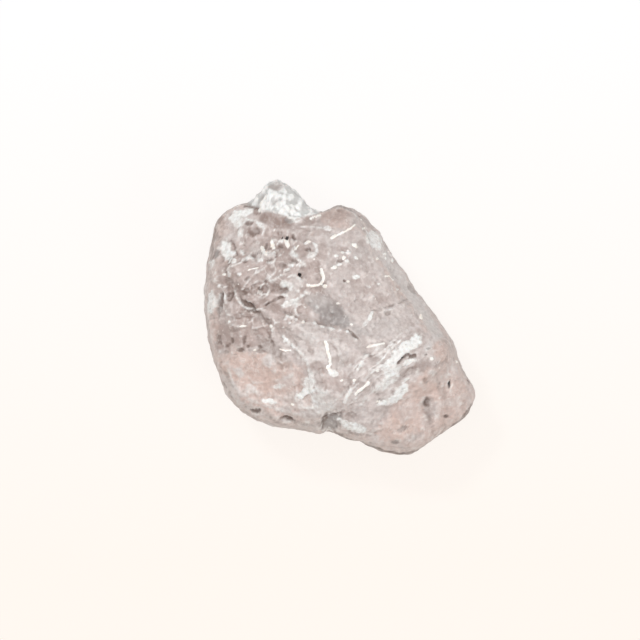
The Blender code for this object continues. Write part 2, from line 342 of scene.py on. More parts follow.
# %% [markdown]
# ## The crystal point
#
# The white crystal could be a piece pushed into the stone, but the real two are grown together, so it is a
# zone too. Its foot is a crisp seam, so it is bounded by a path and not by an ellipse. Down the outer flank
# it narrows and ends, as a crystal does that grew out of the upper edge.

# %% The crystal's outline
CRYSTAL_EDGE = ((-7.3, 8.85), (-6.35, 8.4), (-5.2, 8.35), (-4.65, 8), (-3.8, 7.85), (-3.15, 7.85))
CRYSTAL_EDGE += ((-2.2, 8.1), (-1.2, 8.5))
CRYSTAL_MIDDLE, CRYSTAL_HALF_WIDTH = -4.2, 3.35  # mm across the stone
CRYSTAL_SHOULDER, CRYSTAL_DROP = 7.2, 2.9  # mm up, and how far below that it reaches


def above(path, softness):
    """1 on the left of a path and 0 on its right."""
    distance, side = from_path(path)
    return ramp(distance * side, -softness, softness)


ZONES["crystal"] = above(CRYSTAL_EDGE, 0.08) * ramp(PLACES[:, 1], 7.6, 7.9)
sideways = (PLACES[:, 0] - CRYSTAL_MIDDLE) / CRYSTAL_HALF_WIDTH
downward = np.minimum(PLACES[:, 2] - CRYSTAL_SHOULDER, 0.0) / CRYSTAL_DROP
ZONES["crystal"] *= ramp(-np.hypot(sideways, downward) - 0.22 * WISPS, -1.06, -0.94)
print("crystal:", int(ZONES["crystal"].sum()), "points")

# %% [markdown]
# ## Relief and stain together
#
# On the stone a mark is never only a bump or only a colour. A fresh bruise stands a little proud and is
# white. A pit is sunk, and its dark stain is partly dirt and partly painted shade. So each mark is written
# once, with its place, its size, how far it stands out, and which stain it carries. `frost` is bruised white
# stone, and `glint` is a painted highlight where a clean edge flashes. `umber` is dirt and iron stain, and in
# pits, hollows and under ledges it is also painted shade. `black` is painted shade at the bottom of a deep
# pit. `blush` is clear pink stone, `mauve` and `rind` are darker and browner skin, and `ash` and `pale` are
# grey and light clouds inside the stone. Some `ash` is painted shade, and on the flanks `blush` and `pale`
# are painted light.

# %% Spots
# (x, y), half length, half width, turn in degrees, height in mm, stain, how strong.
SPOTS = (
    # wide faint clouds in the stone, from the head down
    ((-5, 9.15), 0.6, 0.5, 0, 0, "ash", 0.36),
    ((0, 8.2), 1.3, 0.58, 8, 0, "rind", 0.78),
    ((1.35, 7.55), 0.7, 0.5, -30, 0, "pale", 0.52),
    ((-7.45, 6.6), 0.75, 0.65, 0, 0, "mauve", 0.4),
    ((-3.7, 6.6), 2.1, 0.52, 2, 0, "mauve", 0.42),
    ((-6.5, 5), 0.85, 0.75, 0, 0, "pale", 0.6),
    ((-1.15, 5.25), 0.7, 0.75, 0, 0, "mauve", 0.44),
    ((1.35, 5.3), 0.85, 0.6, -40, 0, "pale", 0.46),
    ((-5.05, 3.8), 0.7, 0.6, 0, 0, "mauve", 0.42),
    ((1.8, 2.5), 1.4, 0.65, -10, 0, "mauve", 0.42),
    ((-9, 0.45), 0.9, 1.3, 10, 0, "pale", 0.4),
    ((-6.1, 0.2), 0.8, 0.6, 0, 0, "pale", 0.42),
    ((-1.8, 1.4), 1.3, 0.5, -10, 0, "pale", 0.46),
    ((-2.35, -1.15), 0.9, 0.6, -20, 0, "pale", 0.46),
    ((2.8, -0.95), 2.2, 0.8, 10, 0, "ash", 0.36),
    ((1.4, -1.1), 0.7, 0.5, 0, 0, "ash", 0.32),
    ((-5.45, -2.3), 1.3, 0.7, -25, 0, "umber", 0.46),
    ((-4.4, -3.5), 0.9, 0.6, -30, 0, "umber", 0.36),
    ((0.15, -3.4), 0.7, 0.6, 0, 0, "umber", 0.3),
    ((-0.4, -5.15), 1.6, 0.9, 10, 0, "mauve", 0.55),
    ((6.55, -3.75), 0.8, 0.6, 0, 0, "rind", 0.45),
    ((7.75, -4.85), 0.8, 0.6, 0, 0, "pale", 0.44),
    ((7.8, -6.2), 0.7, 0.6, 0, 0, "mauve", 0.42),
    ((5.2, -7.5), 0.9, 0.8, 0, 0, "ash", 0.34),
    ((1.4, -7.5), 0.8, 0.6, 0, 0, "ash", 0.3),
    ((-3.7, -6.55), 0.9, 0.9, 0, 0, "pale", 0.48),
    ((-1.6, -7.4), 1.5, 0.6, 0, 0, "pale", 0.46),
    ((-2.2, -8.55), 1.2, 0.4, -8, 0, "pale", 0.5),
    ((-9.05, -4.75), 0.5, 0.8, 0, 0, "blush", 0.5),
    # the shoulder's bruises
    ((-9.7, 6.9), 0.6, 1.6, -6, 0, "rind", 0.85),
    ((-8.2, 8.05), 0.62, 0.42, 35, 0.06, "frost", 1),
    ((-7.45, 8.3), 0.75, 0.24, 20, 0.05, "frost", 0.95),
    ((-8.9, 5.3), 0.9, 0.46, 100, 0.05, "frost", 0.85),
    ((-8, 7.45), 0.5, 0.34, 60, 0.03, "frost", 0.65),
    ((-7.8, 6.65), 0.4, 0.26, 70, 0.03, "frost", 0.5),
    ((-7.15, 7.45), 0.4, 0.26, 10, -0.06, "umber", 0.5),
    ((-6.8, 6.75), 0.6, 0.34, 12, -0.08, "umber", 0.46),
    ((-6.1, 7.15), 0.3, 0.12, -30, 0.03, "frost", 0.5),
    ((-6.8, 6.85), 0.6, 0.4, 10, -0.05, "rind", 0.6),
    ((-2.4, 7.6), 0.7, 0.34, 10, 0, "rind", 0.6),
    ((-0.9, 7.05), 0.34, 0.24, 0, 0.03, "frost", 0.5),
    ((-8.9, 4.1), 0.3, 0.5, 0, -0.04, "umber", 0.3),
    ((-9.8, 5), 0.42, 0.28, 60, -0.12, "ash", 0.85),
    ((-10.1, 4.25), 0.45, 0.25, 80, 0.03, "frost", 0.66),
    ((-8.2, 8.85), 0.6, 0.1, 10, 0.03, "glint", 0.5),
    ((-6.9, 8.75), 0.45, 0.14, -8, -0.05, "umber", 0.6),
    ((-7.45, 8.85), 0.2, 0.1, 10, -0.04, "umber", 0.6),
    ((-6.6, 8.45), 0.36, 0.34, 0, -0.05, "rind", 0.95),
    ((-4.25, 7.65), 0.6, 0.26, 0, -0.05, "rind", 0.9),
    # the crystal point
    ((-5, 10.45), 0.72, 0.44, 5, -0.05, "rind", 0.52),
    ((-6.25, 9.4), 0.34, 0.85, -28, -0.03, "ash", 0.4),
    ((-2.2, 8.75), 0.6, 0.22, -38, -0.03, "ash", 0.22),
    ((-4, 7.65), 0.36, 0.22, 0, -0.06, "ash", 0.8),
    # the row of beads
    ((-4.6, 6.05), 0.22, 0.16, 0, 0.06, "frost", 0.65),
    ((-6.45, 5.9), 0.24, 0.16, 0, 0.03, "frost", 0.45),
    ((-2.5, 5.9), 0.28, 0.15, 25, 0.08, "glint", 1),
    ((-1.9, 5.7), 0.28, 0.14, -35, 0.05, "frost", 0.8),
    ((-1.8, 5.3), 0.15, 0.28, 0, 0.03, "frost", 0.55),
    ((-2.2, 4.85), 0.44, 0.24, 20, 0.03, "frost", 0.6),
    ((-3.6, 4.9), 0.46, 0.24, -10, 0.03, "frost", 0.58),
    ((-3.4, 2.75), 0.75, 0.5, 10, 0.02, "pale", 0.62),
    ((-3.8, 3.25), 0.45, 0.12, 15, 0.03, "frost", 0.6),
    ((-5.8, 5.65), 0.12, 0.26, -10, -0.1, "umber", 0.6),
    ((-4.65, 5.65), 0.22, 0.16, -20, -0.1, "umber", 0.6),
    ((-3.6, 6.3), 0.14, 0.26, 30, -0.12, "umber", 0.65),
    ((-5.8, 2.8), 0.16, 0.14, 0, -0.08, "umber", 0.7),
    ((-5.1, 5.05), 0.12, 0.09, 0, 0.05, "glint", 0.7),
    ((-4.55, 6.25), 0.09, 0.09, 0, -0.12, "black", 0.9),
    ((-4.15, 6.25), 0.18, 0.13, 60, -0.2, "black", 1),
    ((-3.6, 4.5), 0.26, 0.13, -20, -0.1, "umber", 0.7),
    # the black pit, its bottom painted shade, and the crescent beside it
    ((-3.15, 3.3), 0.13, 0.17, 25, -0.34, "black", 1),
    ((-3, 3.1), 0.14, 0.08, -35, -0.1, "umber", 0.8),
    ((-2.8, 3.15), 0.2, 0.1, -40, -0.06, "umber", 0.35),
    ((-1.15, 2.45), 0.2, 0.17, 0, 0.08, "glint", 1),
    ((-2.5, 5.35), 0.24, 0.18, 0, -0.12, "umber", 0.55),
    # flecks and small hollows at the crown's left
    ((-9.1, 3.35), 0.15, 0.12, 0, 0.05, "glint", 0.95),
    ((-8.35, 5.05), 0.22, 0.15, 30, 0.04, "frost", 0.85),
    ((-8.25, 4.45), 0.28, 0.18, 70, 0.04, "frost", 0.8),
    ((-8.65, 4.45), 0.22, 0.28, 0, -0.07, "umber", 0.66),
    ((-7.45, 4.45), 0.26, 0.18, 30, -0.06, "umber", 0.6),
    ((-7.7, 5.15), 0.28, 0.17, -30, 0.03, "frost", 0.72),
    ((-7.05, 4.65), 0.28, 0.16, 10, 0.03, "frost", 0.76),
    ((-5.6, 4.45), 0.28, 0.18, 30, -0.05, "umber", 0.58),
    ((-6.2, 4.45), 0.22, 0.15, 0, 0.04, "frost", 0.76),
    ((-4.5, 4.1), 0.36, 0.22, -20, -0.05, "umber", 0.58),
    ((-4.1, 3.75), 0.28, 0.13, 20, 0.04, "frost", 0.76),
    ((-7.85, 3.45), 0.24, 0.14, 50, 0.03, "frost", 0.74),
    ((-7.3, 3.05), 0.26, 0.16, 30, -0.05, "umber", 0.56),
    ((-3.8, 4.1), 0.2, 0.14, 0, 0.03, "frost", 0.74),
    # brown hollows of the crown
    ((-7.4, 2), 0.34, 0.26, 20, -0.1, "umber", 0.6),
    ((-6.1, 2.3), 0.95, 0.62, 15, -0.04, "rind", 0.62),
    ((-4.65, 2.35), 0.75, 0.46, 0, -0.04, "rind", 0.5),
    ((-8.5, 2.65), 0.7, 1.1, 15, -0.04, "rind", 0.26),
    ((-6.2, 2.25), 0.22, 0.2, 0, -0.14, "umber", 1),
    ((-6.75, 2.45), 0.3, 0.2, 40, -0.06, "umber", 0.42),
    ((-7.95, 2.05), 0.34, 0.7, 20, -0.05, "umber", 0.36),
    ((-6.2, 2.35), 0.1, 0.08, 0, 0.05, "glint", 0.9),
    ((-5, 2.25), 0.4, 0.28, -10, -0.08, "umber", 0.3),
    ((-4.4, 2.05), 0.4, 0.24, 10, -0.12, "umber", 0.38),
    ((-7.15, 0.85), 0.75, 0.32, -38, -0.2, "umber", 1),
    ((-8.7, 2.2), 0.95, 0.42, 105, -0.08, "umber", 0.3),
    ((-8.65, 1.65), 0.4, 0.3, 60, -0.1, "umber", 0.5),
    ((-4.35, 2.65), 0.36, 0.28, 20, 0.06, "frost", 0.8),
    ((-3.95, 1.15), 0.75, 0.3, 20, 0.03, "frost", 0.7),
    ((-3.8, 1.95), 0.6, 0.4, 0, 0, "frost", 0.35),
    ((-3.3, 4.25), 0.6, 0.35, 0, 0, "frost", 0.3),
    # the left edge
    ((-10.2, 1.15), 0.95, 0.34, 84, 0.05, "frost", 0.84),
    ((-9.45, 1.15), 1, 0.22, 82, -0.2, "ash", 0.85),
    ((-9.4, 1.4), 0.7, 0.14, 80, -0.05, "umber", 0.45),
    ((-10.5, 2.9), 0.5, 0.16, 90, -0.05, "umber", 0.56),
    # the right plane
    ((2.75, 6.15), 1, 0.62, -55, 0.03, "frost", 0.72),
    ((1.9, 7.05), 0.14, 0.1, 0, 0.05, "glint", 0.95),
    ((1.7, 7.7), 0.1, 0.09, 0, 0.04, "glint", 0.85),
    ((1.15, 5.6), 0.26, 0.13, -35, 0.06, "glint", 0.95),
    ((-0.25, 4.8), 0.2, 0.12, 0, 0.05, "frost", 0.85),
    ((0.25, 5.05), 0.18, 0.14, 30, 0.05, "frost", 0.95),
    ((0.35, 4.65), 0.18, 0.13, 30, 0.05, "glint", 0.8),
    ((0.65, 5.05), 0.18, 0.12, 0, 0.05, "frost", 0.9),
    ((1.25, 4.65), 0.22, 0.12, -20, 0.04, "frost", 0.9),
    ((0.6, 4.4), 0.2, 0.16, 0, 0.04, "frost", 0.85),
    ((-0.05, 4.15), 0.2, 0.11, 10, 0.05, "frost", 0.9),
    ((-0.4, 3.9), 0.28, 0.11, 8, 0.06, "glint", 0.9),
    ((0.45, 5.4), 0.45, 0.2, -20, -0.05, "mauve", 0.4),
    ((0.05, 4.45), 0.3, 0.16, 0, -0.08, "umber", 0.45),
    ((2.95, 4.6), 0.12, 0.15, 0, 0.05, "glint", 0.85),
    ((3.65, 4.65), 0.13, 0.11, 30, 0.05, "glint", 0.85),
    ((3.55, 5.05), 0.14, 0.11, 0, 0.04, "glint", 0.75),
    ((3.9, 5.25), 0.1, 0.1, 0, 0.04, "glint", 0.7),
    ((4.2, 4.45), 0.2, 0.14, 110, 0.05, "glint", 0.95),
    ((1.25, 3.15), 0.3, 0.18, 10, 0.05, "frost", 1),
    ((0.65, 2.85), 0.14, 0.12, 0, 0.05, "glint", 0.75),
    ((0.4, 2.9), 0.14, 0.11, 0, -0.12, "umber", 0.9),
    ((3.1, 2.65), 0.14, 0.08, -10, 0.03, "frost", 0.8),
    ((2.3, 2.45), 0.24, 0.12, -10, 0.03, "frost", 0.6),
    ((4.55, 2.2), 0.12, 0.1, 0, 0.04, "frost", 0.8),
    ((-0.15, 1.05), 0.18, 0.1, -10, 0.05, "glint", 0.9),
    ((0.95, -0.55), 0.14, 0.1, 0, 0.04, "glint", 0.8),
    ((2.6, 5.25), 0.9, 0.4, -50, 0, "pale", 0.45),
    ((1.4, 1.7), 1.3, 0.45, 10, -0.02, "mauve", 0.26),
    ((3.65, 1.45), 1.5, 0.35, 16, -0.02, "mauve", 0.36),
    ((1, 3.95), 0.8, 0.3, 0, -0.03, "mauve", 0.26),
    ((4.45, -0.35), 2, 1.2, 20, 0, "pale", 0.3),
    ((4.3, -0.05), 1, 0.45, 10, 0, "ash", 0.2),
    ((3.8, 0.35), 0.34, 0.22, 10, -0.1, "umber", 0.35),
    ((5.8, 2.25), 0.6, 0.26, -48, -0.04, "umber", 0.42),
    ((2.45, 0.1), 0.38, 0.16, 66, 0.05, "frost", 0.95),
    ((1.9, -0.6), 0.5, 0.18, 50, 0.03, "frost", 0.45),
    ((6.45, 0.05), 0.24, 0.14, 100, 0.05, "glint", 0.9),
    ((7.1, -0.45), 0.35, 0.22, 20, 0, "ash", 0.45),
    # the grey hollow: its ash is painted shade, where the face slopes away from the light
    ((-0.65, 0.25), 1.3, 0.74, -30, 0, "ash", 0.72),
    ((-1.7, 0.9), 1, 0.45, -20, 0, "ash", 0.42),
    ((1.1, -1.35), 0.62, 0.13, -46, -0.08, "umber", 0.62),
    ((0.15, -0.35), 0.8, 0.5, -38, 0, "ash", 0.62),
    ((-1.6, -3.9), 0.95, 0.5, -15, -0.02, "rind", 0.72),
    # painted highlights: the bright dots along the hollow's lower edge
    ((-3.75, 0), 0.16, 0.12, 0, 0.05, "glint", 0.85),
    ((-3.4, -0.2), 0.13, 0.11, 0, 0.05, "frost", 0.85),
    ((-2.85, -0.35), 0.15, 0.12, 20, 0.05, "glint", 0.85),
    ((-1.95, -0.5), 0.2, 0.1, -10, 0.05, "frost", 0.9),
    ((-1.4, -0.7), 0.18, 0.12, -30, 0.05, "frost", 0.85),
    ((-0.6, -0.95), 0.2, 0.12, -10, 0.05, "frost", 0.9),
    ((0.6, -1.1), 0.14, 0.1, 0, 0.05, "frost", 0.8),
    ((-0.2, -3.5), 0.8, 0.38, -10, -0.02, "mauve", 0.75),
    ((0.95, -3.25), 0.5, 0.36, 30, -0.02, "mauve", 0.5),
    ((-2.25, -2.55), 0.5, 0.22, -50, -0.02, "mauve", 0.5),
    # the triangle's bright corner
    ((-0.5, -4.35), 0.42, 0.26, -25, 0.05, "frost", 1),
    ((0.15, -4.95), 0.14, 0.11, 40, 0.05, "glint", 0.95),
    ((1.1, -4.95), 0.16, 0.11, 30, 0.05, "glint", 0.95),
    ((2.95, -4.15), 0.16, 0.13, 60, 0.05, "glint", 0.95),
    # the frosted rib
    ((5.8, -2), 0.82, 0.46, 34, 0.05, "frost", 1),
    ((5.25, -2.3), 0.6, 0.44, 40, 0.04, "frost", 0.95),
    ((4.6, -2.95), 0.75, 0.4, 42, 0.04, "frost", 0.9),
    ((3.9, -3.65), 0.85, 0.38, 40, 0.03, "frost", 0.72),
    ((5.45, -3.5), 0.6, 0.22, 25, 0.04, "frost", 0.9),
    ((4.15, -4.3), 0.8, 0.4, 38, 0.02, "frost", 0.7),
    ((3.75, -5.15), 0.8, 0.34, 35, 0.02, "frost", 0.6),
    ((4.85, -5.8), 0.72, 0.36, 40, 0.05, "frost", 1),
    ((4.2, -6.45), 0.7, 0.34, 30, 0.05, "frost", 1),
    ((3.5, -6.75), 0.62, 0.22, 8, 0.05, "frost", 0.95),
    ((5.2, -5), 0.45, 0.12, 40, 0.05, "frost", 0.8),
    ((3.05, -6.65), 0.22, 0.11, 5, 0.05, "glint", 0.85),
    # painted shadow in the recess under the frosted ridge
    ((5.65, -3.25), 0.4, 0.14, 5, -0.08, "umber", 0.45),
    ((5.5, -4.3), 0.6, 0.32, 20, -0.06, "umber", 0.3),
    ((7.05, -2.45), 0.14, 0.1, 0, -0.06, "umber", 0.7),
    ((7.25, -3.25), 0.15, 0.12, 0, 0.05, "glint", 0.9),
    ((6.8, -2.95), 0.16, 0.1, 40, -0.06, "umber", 0.6),
    ((7, -2.3), 0.6, 0.34, 30, 0.02, "frost", 0.3),
    # the frosted slope between the lobe and the foot
    ((-1.7, -5.95), 0.8, 0.6, 70, 0.02, "frost", 0.42),
    ((-1.3, -6.6), 1.1, 0.95, 60, 0.02, "pale", 0.7),
    ((-2.5, -6.95), 0.9, 0.4, 10, 0.02, "frost", 0.36),
    ((1, -8.6), 1.3, 0.42, -20, 0.04, "frost", 0.75),
    # painted shadow in the notch, cast by the lobe to its right: the grey wedge and the umber in it
    ((-0.65, -8.3), 0.95, 0.72, 40, -0.18, "ash", 0.95),
    ((-1.15, -8.2), 0.62, 0.24, 78, -0.06, "umber", 0.6),
    ((-0.5, -7.75), 0.6, 0.2, 25, -0.05, "umber", 0.28),
    ((0.95, -7.7), 0.5, 0.26, 0, -0.04, "umber", 0.26),
    # the shelf above the lobe
    ((-9.55, -1.75), 0.26, 0.46, 10, -0.1, "umber", 0.5),
    ((-8.5, -1.8), 0.17, 0.24, 20, -0.08, "umber", 0.62),
    ((-8.8, -2.2), 0.26, 0.16, 40, -0.05, "umber", 0.45),
    ((-7.5, -1.85), 0.18, 0.4, -10, -0.07, "umber", 0.55),
    ((-7.75, -2.55), 0.32, 0.22, 25, -0.08, "umber", 0.62),
    ((-7.2, -2.3), 0.16, 0.12, 0, -0.06, "umber", 0.55),
    ((-6.25, -2.3), 0.2, 0.15, -30, -0.06, "umber", 0.6),
    ((-6.25, -2.7), 0.4, 0.2, -10, -0.05, "umber", 0.4),
    ((-8.3, -1), 0.48, 0.18, 5, -0.06, "umber", 0.42),
    ((-6.6, -1.25), 0.5, 0.24, -25, -0.06, "umber", 0.35),
    ((-8.1, 0.1), 0.6, 0.26, 10, -0.07, "umber", 0.34),
    ((-7.4, 0.35), 0.5, 0.3, -30, -0.1, "umber", 0.32),
    ((-6.4, 0.1), 0.6, 0.34, -20, -0.08, "umber", 0.26),
    ((-9, -2.75), 0.3, 0.14, 10, -0.05, "umber", 0.35),
    ((-5.7, -0.3), 0.4, 0.26, -40, -0.08, "umber", 0.36),
    ((-6.65, -2.55), 0.15, 0.12, 0, 0.05, "glint", 0.8),
    ((-5.4, -0.65), 0.14, 0.11, 0, 0.05, "glint", 0.8),
    ((-7.6, -0.7), 0.3, 0.1, 0, 0.05, "glint", 0.8),
    ((-8.65, -0.35), 0.2, 0.12, 0, 0.05, "glint", 0.55),
    # the slope at the triangle's foot
    ((-3.2, -1.7), 0.3, 0.16, -20, -0.06, "umber", 0.3),
    ((-2.35, -2.6), 0.28, 0.18, -35, -0.05, "umber", 0.28),
    ((-1, -6.95), 1, 0.45, 10, 0.02, "frost", 0.34),
    ((-2.35, -5.1), 0.5, 0.9, -15, 0.05, "frost", 0.6),
    ((-2.8, -5.95), 0.8, 0.26, 28, 0.06, "frost", 0.85),
    # the lobe
    ((-5.6, -6.6), 0.62, 0.19, -5, 0.05, "frost", 1),
    ((-4.75, -5.4), 0.6, 0.22, 10, 0.03, "frost", 0.6),
    ((-5.6, -3.4), 0.6, 0.45, 30, 0.03, "pale", 0.7),
    ((-7.05, -4.05), 0.4, 0.26, 10, -0.03, "mauve", 0.5),
    ((-6, -5.9), 0.42, 0.5, 20, -0.03, "mauve", 0.6),
    ((-4.8, -3.9), 0.36, 0.3, 0, -0.05, "mauve", 0.6),
    ((-3.05, -5.4), 0.55, 0.26, 20, -0.04, "mauve", 0.65),
    ((-8.6, -5.1), 0.36, 0.6, 35, -0.03, "mauve", 0.6),
    ((-7.95, -4.35), 0.35, 0.6, 40, 0.03, "pale", 0.5),
    ((-7, -5.65), 0.6, 0.4, -30, 0.03, "pale", 0.5),
    ((-4, -4.6), 0.5, 0.24, 30, 0.02, "pale", 0.5),
    ((-8.65, -5.1), 0.42, 0.2, -60, 0, "umber", 0.34),
    ((-9.4, -3.75), 0.3, 0.14, -70, 0, "umber", 0.3),
    ((-9.7, -2.3), 0.5, 0.16, -75, 0, "umber", 0.34),
    ((-7.85, -6.15), 0.4, 0.14, -48, 0, "umber", 0.3),
    ((-2.35, -8.65), 1.2, 0.3, -8, 0, "rind", 0.3),
    ((-3.7, -6.85), 0.14, 0.1, 0, 0.04, "glint", 0.8),
    ((-4.2, -1.8), 0.26, 0.14, 40, 0.05, "frost", 0.95),
    ((-6.6, -7.4), 0.5, 0.16, -8, -0.16, "umber", 0.85),
    ((-4.1, -8), 0.52, 0.2, -14, -0.22, "umber", 0.85),
    ((-6.8, -4.35), 2.2, 1.6, -20, 0, "blush", 0.75),
    ((-8.1, -6.3), 1.6, 0.5, -42, 0, "blush", 0.7),
    ((-8.65, -5.65), 2, 0.55, -54, 0, "pale", 0.62),
    ((-6.5, -7.35), 1.6, 0.4, -22, 0, "pale", 0.5),
    ((-5.7, -7.4), 1.7, 0.42, -18, 0, "blush", 0.7),
    ((-3, -8.05), 1.4, 0.36, -12, 0, "blush", 0.6),
    ((-9.6, -4.05), 0.45, 1.5, 12, 0, "blush", 0.6),
    ((-10.1, -0.35), 0.6, 2.2, 3, 0, "blush", 0.55),
    # the foot
    ((7.25, -4.35), 0.4, 0.2, 10, 0.05, "pale", 0.6),
    ((8.6, -4.6), 0.35, 0.22, 0, 0.05, "pale", 0.5),
    ((6.8, -5), 0.2, 0.3, 20, -0.06, "umber", 0.35),
    ((5, -8.85), 0.4, 0.26, 30, -0.05, "ash", 0.45),
    ((5.65, -9.55), 0.5, 0.4, 30, 0, "ash", 0.35),
    ((8.75, -5.35), 0.095, 0.36, -6, -0.2, "black", 0.66),
    ((7, -6.75), 0.24, 0.38, 10, -0.12, "umber", 0.62),
    ((7.2, -7.15), 0.62, 0.95, 10, -0.03, "ash", 0.55),
    ((7, -8.3), 0.55, 0.7, 30, 0, "ash", 0.32),
    ((8.15, -5.95), 0.42, 0.62, 10, -0.02, "ash", 0.4),
    ((6.2, -9.4), 0.6, 0.22, 40, -0.03, "ash", 0.35),
    ((8.55, -7.9), 0.26, 0.14, -20, -0.12, "umber", 0.75),
    ((4.45, -9.9), 0.34, 0.22, 10, -0.08, "ash", 0.6),
    ((5.25, -8.75), 0.3, 0.2, 0, -0.05, "umber", 0.35),
    ((9.25, -3.55), 0.14, 0.12, 0, 0.04, "glint", 0.8),
    ((7.4, -5.4), 1.7, 1.2, 40, 0, "blush", 0.6),
    ((4.45, -8.6), 1.8, 1.1, 30, 0, "blush", 0.7),
    ((8.15, -2.7), 1.2, 0.8, -60, 0, "blush", 0.7),
    ((8.4, -2.3), 1, 0.62, -60, 0, "rind", 0.62),
)
